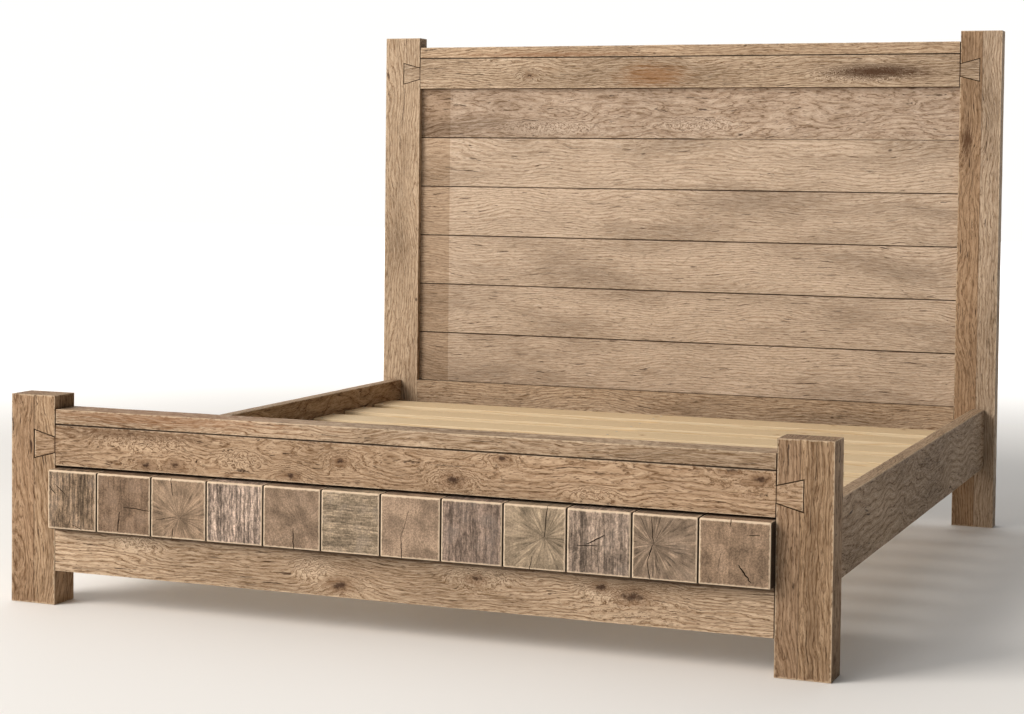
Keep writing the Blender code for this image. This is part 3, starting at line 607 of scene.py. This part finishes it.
def wear(piece, axis, arris=2.5 * MM, depth=1.2 * MM, step=28 * MM):
    """Rounds the long arrises of a timber, unevenly along its length, as use does."""
    corners = [vert.co for vert in piece.data.vertices]
    low = Vector([min(corner[i] for corner in corners) for i in range(3)])
    high = Vector([max(corner[i] for corner in corners) for i in range(3)])
    count = max(2, round((high[axis] - low[axis]) / step))
    with editing(piece):
        cut_across(axis, [low[axis] + (high[axis] - low[axis]) * i / count for i in range(1, count)])
        choose(piece, "EDGE", lambda edge: on_outer_arris(edge, low, high))
        bpy.ops.mesh.bevel(offset=arris, segments=3, profile=0.5, affect="EDGES", clamp_overlap=True)
    group = piece.vertex_groups.new(name="arris")
    reach = arris * 1.3
    for vert in piece.data.vertices:
        close = sum(vert.co[i] < low[i] + reach or vert.co[i] > high[i] - reach for i in range(3))
        if close >= 2:
            group.add([vert.index], 1.0, "REPLACE")
    apply_modifier(piece, "DISPLACE", texture=ARRIS_KNOCKS, texture_coords="LOCAL", vertex_group="arris",
                   mid_level=1.0, strength=depth)
    piece.vertex_groups.clear()
    finish_shading(piece)


def finish_shading(piece, angle=40):
    select_only(piece)
    bpy.ops.object.shade_smooth_by_angle(angle=math.radians(angle))
    apply_modifier(piece, "WEIGHTED_NORMAL", keep_sharp=True)


def set_finish(piece, node=None, body="frame", material=None):
    """Gives a piece its material and its body, and hides the CAD solid that it stands for."""
    if material:
        piece.data.materials.clear()
        piece.data.materials.append(material)
    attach(piece, body)
    if node:
        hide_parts(node)


# Oak timbers: the copy of each CAD solid, its grain, and what makes its board its own

# Black-brown oak for check walls and eased joint edges: painted shade, with dirt
CUT_SHADE_AND_DIRT = cut_shade_and_dirt_oak()


def ease_joint(piece, low, high):
    """Takes the sharp edge off the dovetail or its socket; the eased edge takes the black-brown cut
    material, painted shade with dirt.
    """
    def on_joint(edge):
        ends = [vert.co for vert in edge.verts]
        upright = on_outer_arris(edge, low, high) and abs(ends[0].z - ends[1].z) > 0.2
        return (all_at(edge, Y, low.y) and min(abs(end.x) for end in ends) > POST_INNER - 0.5 * MM
                and edge.calc_face_angle(0.0) > 1.0 and not upright
                and not all_at(edge, Z, low.z) and not all_at(edge, Z, high.z))

    with editing(piece):
        choose(piece, "EDGE", on_joint)
        bpy.ops.mesh.bevel(offset=1.2 * MM, segments=1, affect="EDGES", clamp_overlap=True, material=1)


def oak_timber(node, slot, axis, arris=2.5 * MM, step=28 * MM, **look):
    """Takes the place of one CAD timber, its grain along an axis."""
    low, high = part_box(node)
    piece = copy_of_node(node, node + "_oak")
    grain = (ALONG_X, ALONG_Y, ALONG_Z)[axis]
    piece.data.materials.append(brushed_oak(node + "_brushed_oak", low, high, grain=grain, **look))
    # The dovetails of posts and top rails get an eased outline in the black-brown painted-shade material
    if node.endswith("post") or node.endswith("top_rail"):
        piece.data.materials.append(CUT_SHADE_AND_DIRT)
        ease_joint(piece, low, high)
    wear(piece, axis, arris, 1.2 * MM, step)
    set_finish(piece, node)


foot_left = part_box("foot_left_post")[0].x
foot_right = POST_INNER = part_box("foot_right_post")[0].x
head_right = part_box("head_right_post")[0].x
foot_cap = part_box("foot_cap_board")[0].z
# Top of the bottom rail, just under the proud block row; the dark line painted there is shadow
bottom_rail = foot_cap - 0.261
head_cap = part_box("head_cap_board")[0].z
BUTTS = [(X, -POST_INNER, 2.5, 0.75, None), (X, POST_INNER, 2.5, 0.85, None)]
oak_timber("foot_left_post", "posts", Z, 4 * MM, pith=(0, -1.15, 1.02), tilt=0.012, seed=0.4,
           tone="#F6F0E9", lift=0.92, joint=(X, foot_left + 0.066, ("#ECE6E1", "#F6F4F1"), 0.7))
oak_timber("foot_right_post", "posts", Z, 4 * MM, pith=(0, -1.02, -0.93), tilt=0.015, seed=3.1,
           tone="#E8DFD6", joint=(X, foot_right + 0.052, ("#E5E3E2", "#F6F6F3"), 0.5),
           stains=[(foot_right + 0.080, 0.24, 0.030, 0.50, "#63482F", 0.42)])
oak_timber("head_left_post", "posts", Z, pith=(0, 1.15, 1.05), tilt=0.003, seed=5.7,
           tone="#F8FAFC", lift=0.98, brush=0.85)
oak_timber("head_right_post", "posts", Z, pith=(0, 1.02, -0.90), tilt=0.003, seed=8.2,
           tone="#F2F6FC", lift=1.02, brush=0.85,
           joint=(X, head_right + 0.068, ("#E4D6C6", "#FFFFFF"), 0.3),
           stains=[(0.940, 1.20, 0.020, 0.075, "#5A3C24", 0.8)])
oak_timber("foot_cap_board", "rails", X, 3 * MM, pith=(0, -1.00, 0.30), tilt=0.01, seed=1.3,
           seams=[(Z, foot_cap, 3.0, 0.9, None)] + BUTTS,
           stains=[(-0.60, 0.48, 0.45, 0.03, "#9A6540", 0.35)])
oak_timber("foot_top_rail", "rails", X, 3 * MM, pith=(0, -0.98, 0.39), tilt=0.02, seed=2.9,
           tone="#F4EEE8", lift=0.90, brush=1.12, seams=[(Z, foot_cap, 3.0, 0.9, None)] + BUTTS,
           burls=[(-0.66, 0.418, 0.17, 0.034), (-0.40, 0.392, 0.10, 0.034),
                  (0.16, 0.382, 0.08, 0.030), (0.50, 0.372, 0.10, 0.026)],
           knots=[(-0.654, 0.365, 8), (-0.576, 0.370, 9), (-0.261, 0.363, 8), (-0.131, 0.407, 7),
                  (0.159, 0.381, 11), (0.279, 0.437, 6), (0.815, 0.447, 9), (0.876, 0.428, 10)],
           stains=[(-0.70, 0.438, 0.34, 0.022, "#5E4128", 0.55)])
# The seam at the bottom rail's top is a painted shadow under the block row
oak_timber("foot_bottom_rail", "rails", X, pith=(0, -1.02, 0.16), tilt=0.018, seed=4.4,
           lift=0.95, brush=1.12, seams=BUTTS + [(Z, bottom_rail, 5.0, 0.7, None)],
           burls=[(-0.68, 0.172, 0.10, 0.030), (-0.20, 0.150, 0.07, 0.034),
                  (0.23, 0.165, 0.12, 0.028), (0.55, 0.155, 0.12, 0.034)],
           knots=[(-0.131, 0.115, 11), (0.216, 0.158, 8), (0.518, 0.165, 8), (0.593, 0.151, 15)])
oak_timber("head_cap_board", "rails", X, 3 * MM, pith=(0, 1.20, 1.30), tilt=0.01, seed=6.1,
           lift=0.94, brush=0.95, seams=[(Z, head_cap, 3.2, 0.9, None)] + BUTTS,
           stains=[(-0.45, 1.475, 0.40, 0.012, "#8A5A38", 0.45)])
oak_timber("head_top_rail", "rails", X, 3 * MM, pith=(0, 1.18, 1.42), tilt=0.015, seed=7.7,
           tone="#F6FAFF", lift=1.02, brush=1.15, seams=[(Z, head_cap, 3.2, 0.9, None)] + BUTTS,
           burls=[(0.60, 1.405, 0.20, 0.035)], knots=[(-0.515, 1.408, 6)],
           stains=[(-0.080, 1.404, 0.150, 0.050, "#8C5C30", 0.66),
                   (0.66, 1.412, 0.22, 0.030, "#4A2E18", 0.95)])
oak_timber("head_lower_rail", "rails", X, step=60 * MM, pith=(0, 1.18, 0.25), seed=9.5)

TOP_PLANK = {"tone": "#EEF3FF", "lift": 1.04, "brush": 0.85, "wander": 1.2,
             "burls": [(-0.42, 1.236, 0.22, 0.032), (0.09, 1.246, 0.20, 0.036)]}
LOWER_PLANK = {"tone": "#EAF2FF", "lift": 1.36, "brush": 0.62, "wander": 0.8}
TONGUE = 7.3 * MM
# The seam under the top plank closes up from here on towards the right
CLOSING = (0.02, 0.12)
# Each plank is darker left of x = -0.808, in a straight band next to the left post
for number in range(1, 7):
    plank = f"head_plank_{number}"
    low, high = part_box(plank)
    oak_timber(plank, "planks", X, 2 * MM, 60 * MM, seed=10.0 + 1.7 * number,
               pith=(0, 1.16 + 0.01 * number, 0.40 + 0.166 * number), tilt=0.02 - 0.004 * number,
               joint=(X, -0.808, ("#E6DFD6", "#FFFFFF"), 0.0),
               seams=[(Z, low.z, 2.6, 0.9, CLOSING if number == 6 else None),
                      (Z, high.z - TONGUE, 2.6, 0.9, CLOSING if number == 5 else None)],
               **(TOP_PLANK if number == 6 else LOWER_PLANK))
for side, pith_x, seed in (("left", -0.93, 21.0), ("right", 0.93, 27.0)):
    oak_timber(f"{side}_side_rail", "rails", Y, step=60 * MM, pith=(0, pith_x, 0.27), seed=seed,
               wander=0.35)


# End-grain blocks

# Each row: pith across and up the face (0 to 1), tone, rays, ribs, turn of the ribs, rings, grime,
# and the open checks as (across, up, across, up, width in mm)
BLOCK_LOOKS = [
    ((0.2, 1.4), "#836E59", 0.10, 0.75, 0.0, 0.2, 0.35,
     [(0.02, 0.74, 0.16, 0.60, 2.3), (0.16, 0.76, 0.36, 0.60, 2.3), (0.50, 0.10, 0.72, 0.02, 1.7)]),
    ((0.45, 0.5), "#7F6854", 0.18, 0.25, 0.0, 0.5, 0.20,
     [(0.50, 0.47, 1.02, 0.43, 2.6), (0.43, 0.38, 0.40, 0.06, 3.5)]),
    ((0.52, 0.36), "#927B65", 0.75, 0.05, 0.0, 0.2, 0.10,
     [(0.36, 1.03, 0.40, 0.72, 2.9), (0.41, 0.20, 0.38, -0.03, 2.6), (0.48, 0.38, 0.10, 0.30, 1.7)]),
    ((0.5, -0.8), "#AA9585", 0.05, 0.85, 0.0, 0.1, 0.25, []),
    ((0.7, 0.4), "#8B7561", 0.30, 0.15, 0.4, 0.4, 0.15, [(0.53, 0.34, 0.54, -0.03, 3.2)]),
    ((0.5, 2.0), "#96846E", 0.05, 0.55, QUARTER, 0.1, 0.45, []),
    ((0.6, 0.5), "#98816C", 0.20, 0.10, 0.0, 0.3, 0.05,
     [(0.37, -0.03, 0.35, 0.34, 2.6), (0.35, 0.34, 0.48, 0.78, 1.3)]),
    ((0.2, 0.7), "#867365", 0.25, 0.60, 0.0, 0.2, 0.45, []),
    ((0.66, 0.52), "#95836D", 0.80, 0.05, 0.0, 0.2, 0.10,
     [(0.66, 0.52, 0.70, 1.03, 2.9), (0.42, -0.03, 0.47, 0.22, 1.9)]),
    ((0.28, 0.45), "#948171", 0.35, 0.70, 0.0, 0.2, 0.30,
     [(0.30, 0.46, 0.60, 0.63, 3.2), (0.14, 0.44, 0.48, 0.45, 2.5)]),
    ((0.33, 0.54), "#8B7764", 0.95, 0.05, 0.0, 0.2, 0.15,
     [(0.33, 0.54, 0.30, 0.96, 2.6), (0.33, 0.54, 0.24, 0.30, 2.9), (0.24, 0.30, 0.29, -0.03, 2.3)]),
    ((0.6, 0.6), "#907862", 0.15, 0.20, 0.0, 0.4, 0.15,
     [(0.56, 0.34, 0.73, 0.08, 4.1), (0.45, 1.03, 0.44, 0.90, 2.9), (0.66, 0.79, 0.84, 0.80, 2.0),
      (0.31, 0.50, 0.27, 0.24, 1.3)]),
]
BLOCK_CHAMFER = 5.0 * MM
BLOCK_GRID = 2.6 * MM


def block_blank():
    """One block with a chamfered face and a fine grid on it, to be copied for all twelve."""
    low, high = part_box("end_grain_block_02")
    blank = start_box("block_blank", low, high)
    with editing(blank):
        choose(blank, "EDGE", lambda edge: all(vert.co.y < low.y + MM for vert in edge.verts)
               or abs(edge.verts[0].co.y - edge.verts[1].co.y) > 10 * MM)
        bpy.ops.mesh.bevel(offset=BLOCK_CHAMFER, segments=3, profile=0.5, affect="EDGES")
        for axis in (X, Z):
            size = high[axis] - low[axis]
            count = round(size / BLOCK_GRID)
            cut_across(axis, [low[axis] + size * step / count for step in range(1, count)],
                       lambda: choose(blank, "FACE", lambda face: face.normal.y < -0.15))
    return blank


def relief(x, z, pith, rays, ribs, turn, number):
    """How far back the sawn face lies at a point: ribs from the saw, rays round the pith."""
    offset = Vector((x - pith[0], 0.0, z - pith[1]))
    radius = offset.length
    way = offset.normalized() * 7.0
    fan = noise.noise(Vector((way.x, radius * 14.0 + number, way.z)))
    fan += 0.5 * noise.noise(Vector((way.x * 2.3, radius * 20.0 + number, way.z * 2.3)))
    across = x * math.cos(turn) - z * math.sin(turn)
    up = x * math.sin(turn) + z * math.cos(turn)
    rib = noise.noise(Vector((across * 170.0, number * 3.0, up * 6.0)))
    dish = noise.noise(Vector((x * 16.0, number * 5.0, z * 16.0)))
    depth = 0.5 + 0.5 * fan * rays * min(1.0, radius / 0.01) + 0.7 * rib * ribs + 0.35 * dish
    return max(0.0, depth) * 1.3 * MM


def check_cutter(start, end, width, front, seed):
    """A jagged wedge, widest at its middle, that cuts one open check."""
    pick = random.Random(seed)
    length = (end - start).length
    half = width / 2
    cutter = start_box("check_cutter", Vector((-half, -2 * MM, 0.0)), Vector((half, 9 * MM, length)))
    with editing(cutter):
        cut_across(Z, [length * i / 7 for i in range(1, 7)])
    shifts = {}
    for vert in cutter.data.vertices:
        part = round(vert.co.z / length * 7)
        share = 0.12 + 0.88 * math.sin(math.pi * (0.12 + 0.76 * part / 7))
        if part not in shifts:
            shifts[part] = pick.uniform(-0.35, 0.35) * width
        taper = 0.15 if vert.co.y > 0 else 1.0
        vert.co.x = vert.co.x * share * taper + shifts[part]
    way = (end - start).normalized()
    side = Vector((way.z, 0.0, -way.x))
    turn = Matrix((side, (0.0, 1.0, 0.0), way)).transposed().to_4x4()
    cutter.data.transform(Matrix.Translation((start.x, front, start.z)) @ turn)
    return cutter


def cut_checks(piece, cutters):
    """Cuts the cutters out of a piece; the walls of the cut take the black-brown cut material, painted
    shade.
    """
    tool = join(cutters)
    tool.data.materials.append(CUT_SHADE_AND_DIRT)
    piece.data.materials.append(CUT_SHADE_AND_DIRT)
    combine(piece, tool, "DIFFERENCE", material_mode="TRANSFER", use_self=True)


def end_grain_row():
    blank = block_blank()
    blank_low, blank_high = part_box("end_grain_block_02")
    for number, look in enumerate(BLOCK_LOOKS, 1):
        (across, up), tone, rays, ribs, turn, rings, grime, checks = look
        node = f"end_grain_block_{number:02d}"
        low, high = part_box(node)
        size = high - low
        pith = (low.x + across * size.x, low.z + up * size.z)
        block = duplicate(blank, node + "_oak")
        stretch = size.x / (blank_high.x - blank_low.x)
        for vert in block.data.vertices:
            vert.co.x = low.x + (vert.co.x - blank_low.x) * stretch
            if vert.co.y < low.y + BLOCK_CHAMFER + 0.1 * MM:
                vert.co.y += relief(vert.co.x, vert.co.z, pith, rays, ribs, turn, number)
        block.data.materials.append(sawn_end_grain(node + "_end_grain", low, high, pith, tone, rays, ribs,
                                                   turn, rings, grime))
        cutters = []
        for index, (x0, z0, x1, z1, width) in enumerate(checks):
            start = Vector((low.x + x0 * size.x, 0.0, low.z + z0 * size.z))
            end = Vector((low.x + x1 * size.x, 0.0, low.z + z1 * size.z))
            cutters.append(check_cutter(start, end, width * MM, low.y, number * 10 + index))
        if cutters:
            cut_checks(block, cutters)
        finish_shading(block, 50)
        set_finish(block, node)
    bpy.data.objects.remove(blank, do_unlink=True)


end_grain_row()


# Pine parts

def pine_timber(node, axis, arris=2 * MM):
    piece = copy_of_node(node, node + "_pine")
    wear(piece, axis, arris, 0.5 * MM, 90 * MM)
    set_finish(piece, node, material=PINE[axis])


PINE = [planed_pine("planed_pine_across", ALONG_X), planed_pine("planed_pine_lengthways", ALONG_Y),
        planed_pine("planed_pine_upright", ALONG_Z)]
for number in range(1, 10):
    pine_timber(f"slat_{number}", X, 3 * MM)
pine_timber("foot_backing_board", X, 1 * MM)
pine_timber("head_batten", Z)
pine_timber("centre_beam", Y)
for side in SIDES:
    pine_timber(f"{side}_ledger", Y)
for number in (1, 2):
    pine_timber(f"centre_leg_{number}", Z)


# Fittings

STEEL = zinc_plated_steel("zinc_plated_steel")
NYLON = moulded_nylon("moulded_nylon")


def start_disc(name, radius, low, high, sides=48):
    """A cylinder that stands on the origin's axis between two heights, alone selected."""
    bpy.ops.object.select_all(action="DESELECT")
    bpy.ops.mesh.primitive_cylinder_add(vertices=sides, radius=radius, depth=high - low,
                                        location=(0.0, 0.0, (low + high) / 2))
    piece = bpy.context.active_object
    name_piece(piece, name)
    bpy.ops.object.transform_apply(location=True, rotation=True, scale=True)
    return piece


def faces_at(piece, height):
    """In edit mode, selects the level faces at a height."""
    choose(piece, "FACE", lambda face: all(abs(vert.co.z - height) < 0.02 * MM for vert in face.verts))


def raise_face(rise, size=1.0):
    """Extrudes the selected face upwards or down, and draws it in or out by a factor."""
    bpy.ops.mesh.extrude_region_move(TRANSFORM_OT_translate={"value": (0.0, 0.0, rise)})
    bpy.ops.transform.resize(value=(size, size, 1.0))


def soften(piece, width, segments=2, angle=30):
    apply_modifier(piece, "BEVEL", width=width, segments=segments, limit_method="ANGLE",
                   angle_limit=math.radians(angle), harden_normals=False)


def levelling_pad(name):
    """A moulded foot: a broad sole with a rolled edge, a cone up to the neck, a socket for the stem."""
    pad = start_disc(name, 22 * MM, 0.0, 4.5 * MM)
    with editing(pad):
        faces_at(pad, 4.5 * MM)
        for rise, size in ((1.5, 0.93), (1.6, 0.78), (1.9, 0.80), (2.5, 0.86)):
            raise_face(rise * MM, size)
        bpy.ops.mesh.inset(thickness=4.6 * MM)
        raise_face(-5.4 * MM)
        faces_at(pad, 0.0)
        bpy.ops.mesh.inset(thickness=2.5 * MM)
        bpy.ops.mesh.inset(thickness=0.6 * MM)
        raise_face(0.8 * MM)
    soften(pad, 0.6 * MM, 3, 25)
    return pad


def threaded_rod(name, radius, pitch, low, high):
    """A helical ridge turned round a core; the thread runs out below the core's chamfered end."""
    core = radius - 0.61 * pitch
    bpy.ops.object.select_all(action="DESELECT")
    bpy.ops.mesh.primitive_circle_add(vertices=4, radius=pitch / 2, fill_type="NOTHING")
    ridge = bpy.context.active_object
    section = [(core - 0.1 * MM, 0.04), (radius, 0.42), (radius, 0.54), (core - 0.1 * MM, 0.92)]
    for vert, (across, up) in zip(ridge.data.vertices, section):
        vert.co = (across, 0.0, low + up * pitch)
    turns = math.floor((high - low) / pitch) - 1
    apply_modifier(ridge, "SCREW", angle=2 * math.pi, screw_offset=pitch, iterations=turns, steps=24,
                   render_steps=24, axis="Z")
    with editing(ridge):
        bpy.ops.mesh.select_mode(type="EDGE")
        bpy.ops.mesh.select_all(action="DESELECT")
        bpy.ops.mesh.select_non_manifold()
        bpy.ops.mesh.fill()
        bpy.ops.mesh.select_all(action="SELECT")
        bpy.ops.mesh.normals_make_consistent(inside=False)
    rod = start_disc(name, core, low - 0.3 * MM, high, 40)
    with editing(rod):
        choose(rod, "EDGE", lambda edge: all(vert.co.z > high - MM for vert in edge.verts))
        bpy.ops.mesh.bevel(offset=0.8 * MM, segments=1, affect="EDGES")
    return join([rod, ridge])


def levelling_stem(name, low, high):
    """An M10 stem: pivot, hexagon with chamfered corners, and a thread of 1.5 mm pitch."""
    collar_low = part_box("levelling_pad_1")[1].z + 0.3 * MM
    collar_high = collar_low + 8 * MM
    rod = threaded_rod(name, 5 * MM, 1.5 * MM, collar_high, high)
    hexagon = start_disc("stem_hexagon", 8.5 * MM / math.cos(math.pi / 6), collar_low, collar_high, 6)
    corners = start_disc("hexagon_corners", 9.75 * MM, collar_low, collar_high, 60)
    with editing(corners):
        choose(corners, "EDGE", lambda edge: abs(edge.verts[0].co.z - edge.verts[1].co.z) < 0.01 * MM)
        bpy.ops.mesh.bevel(offset=1.2 * MM, segments=1, affect="EDGES")
    combine(hexagon, corners, "INTERSECT")
    pivot = start_disc("stem_pivot", 3.3 * MM, low, collar_low + 0.5 * MM, 32)
    soften(pivot, 0.8 * MM)
    soften(hexagon, 0.15 * MM, 1)
    return join([rod, hexagon, pivot])


def leg_nut(name, low):
    """A flanged insert nut: the flange bears on the leg's end and has three screw holes."""
    nut = start_disc(name, 13 * MM, low, low + 2.5 * MM, 60)
    with editing(nut):
        faces_at(nut, low + 2.5 * MM)
        bpy.ops.mesh.inset(thickness=6.5 * MM)
        raise_face(12 * MM)
    soften(nut, 0.4 * MM)
    combine(nut, start_disc("nut_bore", 5.15 * MM, low - MM, low + 20 * MM), "DIFFERENCE")
    for index in range(3):
        hole = start_disc("nut_screw_hole", 1.4 * MM, low - MM, low + 4 * MM, 20)
        way = Vector((9.8 * MM, 0.0, 0.0))
        way.rotate(Matrix.Rotation(2 * math.pi * index / 3 + 0.5, 3, "Z"))
        hole.data.transform(Matrix.Translation(way))
        combine(nut, hole, "DIFFERENCE")
    return nut


def levelling_feet():
    stem_low, stem_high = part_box("levelling_stem_1")
    nut_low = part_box("leg_nut_1")[0]
    firsts = [
        ("levelling_pad", levelling_pad("levelling_pad_nylon"), NYLON, "pad_plastic", "pad"),
        ("levelling_stem", levelling_stem("levelling_stem_steel", stem_low.z, stem_high.z), STEEL,
         "levelling_steel", "stem"),
        ("leg_nut", leg_nut("leg_nut_steel", nut_low.z), STEEL, "levelling_steel", None),
    ]
    for kind, first, material, slot, body in firsts:
        for number in (1, 2):
            node = f"{kind}_{number}"
            low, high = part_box(node)
            piece = duplicate(first, f"{first.name}_{number}")
            piece.data.transform(Matrix.Translation((0.0, (low.y + high.y) / 2, 0.0)))
            set_finish(piece, node, f"{body}_{number}" if body else "frame", material)
            finish_shading(piece, 35)
        bpy.data.objects.remove(first, do_unlink=True)


levelling_feet()
for end in ENDS:
    for side in SIDES:
        for kind in ("slotted_plate", "hook_plate"):
            node = f"{end}_{side}_{kind}"
            plate = copy_of_node(node, node + "_steel")
            soften(plate, 0.3 * MM)
            set_finish(plate, node, material=STEEL)
            finish_shading(plate, 35)


# Wood screws

def screw_head():
    """A countersunk 8 mm head with a crossed recess, its face at height nought."""
    head = start_disc("screw_head", 2.2 * MM, -3.0 * MM, -2.0 * MM, 24)
    with editing(head):
        faces_at(head, -2.0 * MM)
        raise_face(1.9 * MM, 4.0 / 2.2)
        raise_face(0.35 * MM, 0.96)
    for wide, long in ((0.45, 2.2), (2.2, 0.45)):
        slot = start_box("screw_recess", Vector((-wide, -long, -1.8)) * MM, Vector((wide, long, 1.0)) * MM)
        with editing(slot):
            choose(slot, "FACE", lambda face: face.normal.z < -0.5)
            bpy.ops.transform.resize(value=(0.55, 0.55, 1.0), center_override=(0.0, 0.0, 0.0))
        combine(head, slot, "DIFFERENCE")
    finish_shading(head, 35)
    return head


def screws(name, head, facing, places):
    """Sets one head at each place, turned to face a way, and joins them into one piece."""
    pick = random.Random(name)
    turn = Vector((0.0, 0.0, 1.0)).rotation_difference(Vector(facing)).to_matrix().to_4x4()
    made = []
    for place in places:
        piece = duplicate(head, name)
        spin = Matrix.Rotation(pick.uniform(0.0, math.pi), 4, "Z")
        piece.data.transform(Matrix.Translation(place) @ turn @ spin)
        made.append(piece)
    set_finish(join(made), material=STEEL)


def all_screws():
    head = screw_head()
    slats, beam_screws = [], []
    ledger_low, ledger_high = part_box("right_ledger")
    bearing = (ledger_low.x + ledger_high.x) / 2
    for number in range(1, 10):
        low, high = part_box(f"slat_{number}")
        for share in (0.2, 0.8):
            y = low.y + share * (high.y - low.y)
            slats += [(-bearing, y, high.z), (bearing, y, high.z)]
            beam_screws.append((0.0, y, high.z))
    screws("slat_screws", head, (0, 0, 1), slats)
    screws("beam_screws", head, (0, 0, 1), beam_screws)
    middle = (ledger_low.z + ledger_high.z) / 2
    rows = [ledger_low.y + 0.06 + (ledger_high.y - ledger_low.y - 0.12) * i / 7 for i in range(8)]
    screws("left_ledger_screws", head, (1, 0, 0), [(-ledger_low.x, y, middle) for y in rows])
    screws("right_ledger_screws", head, (-1, 0, 0), [(ledger_low.x, y, middle) for y in rows])
    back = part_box("head_batten")[1].y
    places = []
    for number in range(1, 7):
        low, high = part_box(f"head_plank_{number}")
        places += [(lean * 22 * MM, back, (low.z + high.z) / 2 + lean * 18 * MM) for lean in (-1, 1)]
    screws("batten_screws", head, (0, 1, 0), places)
    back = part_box("foot_backing_board")[1].y
    places = []
    for number in range(1, len(BLOCK_LOOKS) + 1):
        low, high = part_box(f"end_grain_block_{number:02d}")
        places += [((low.x + high.x) / 2 + lean, back, z) for lean, z in ((-0.03, 0.235), (0.03, 0.322))]
    screws("block_screws", head, (0, 1, 0), places)
    bpy.data.objects.remove(head, do_unlink=True)


all_screws()


# Studio

def add_floor():
    bpy.ops.object.select_all(action="DESELECT")
    bpy.ops.mesh.primitive_plane_add(size=60.0)
    floor = bpy.context.active_object
    floor.name = "studio_floor"
    floor.data.materials.append(studio_floor())


def add_softbox(name, place, target, size, power, colour="#FFFFFF"):
    light = bpy.data.lights.new(name, "AREA")
    light.shape = "RECTANGLE"
    light.size, light.size_y = size
    light.energy = power
    light.color = linear(colour)[:3]
    holder = bpy.data.objects.new(name, light)
    holder.location = place
    holder.rotation_euler = (Vector(target) - Vector(place)).to_track_quat("-Z", "Y").to_euler()
    bpy.context.scene.collection.objects.link(holder)


def add_camera():
    """The viewing place: to the right of the footboard, level with the headboard's middle."""
    camera = bpy.data.cameras.new("camera")
    camera.lens = 74.38
    camera.sensor_width = 36.0
    camera.shift_y = -0.0996
    camera.clip_end = 200.0
    holder = bpy.data.objects.new("camera", camera)
    yaw, pitch, roll = 0.3776, 0.03991, 0.01141
    holder.matrix_world = (Matrix.Translation((2.05116, -5.52855, 1.08955)) @ Matrix.Rotation(yaw, 4, "Z")
                           @ Matrix.Rotation(QUARTER - pitch, 4, "X") @ Matrix.Rotation(roll, 4, "Z"))
    bpy.context.scene.collection.objects.link(holder)
    bpy.context.scene.camera = holder


def add_world():
    """Soft light from all round, brightest from the left and a little from behind the headboard."""
    world = bpy.data.worlds.new("studio_world")
    world.use_nodes = True
    world.node_tree.nodes.clear()
    add = partial(add_node, world)
    way = add("TexCoord")
    lean = add("VectorMath DOT_PRODUCT", (way, (-0.90, 0.25, 0.20)), output=1)
    strength = add("MapRange", (lean, -0.20, 0.35, 0.05, 0.92), **SMOOTH)
    seen = add("LightPath")
    strength = add("Mix", {0: seen, 2: strength, 3: 1.06})
    light = add("Background", {"Color": linear("#FBFAF8"), "Strength": strength})
    add("OutputWorld", {"Surface": light})
    bpy.context.scene.world = world


add_floor()
add_camera()
add_world()
add_softbox("key_softbox", (-8.3, -9.0, 7.9), (0.0, 0.0, 0.5), (7.0, 7.0), 1700.0, "#FFF8F0")
add_softbox("front_softbox", (-1.5, -10.0, 3.0), (0.0, 0.0, 0.6), (3.0, 2.5), 130.0)
bpy.context.scene.view_settings.view_transform = "Standard"
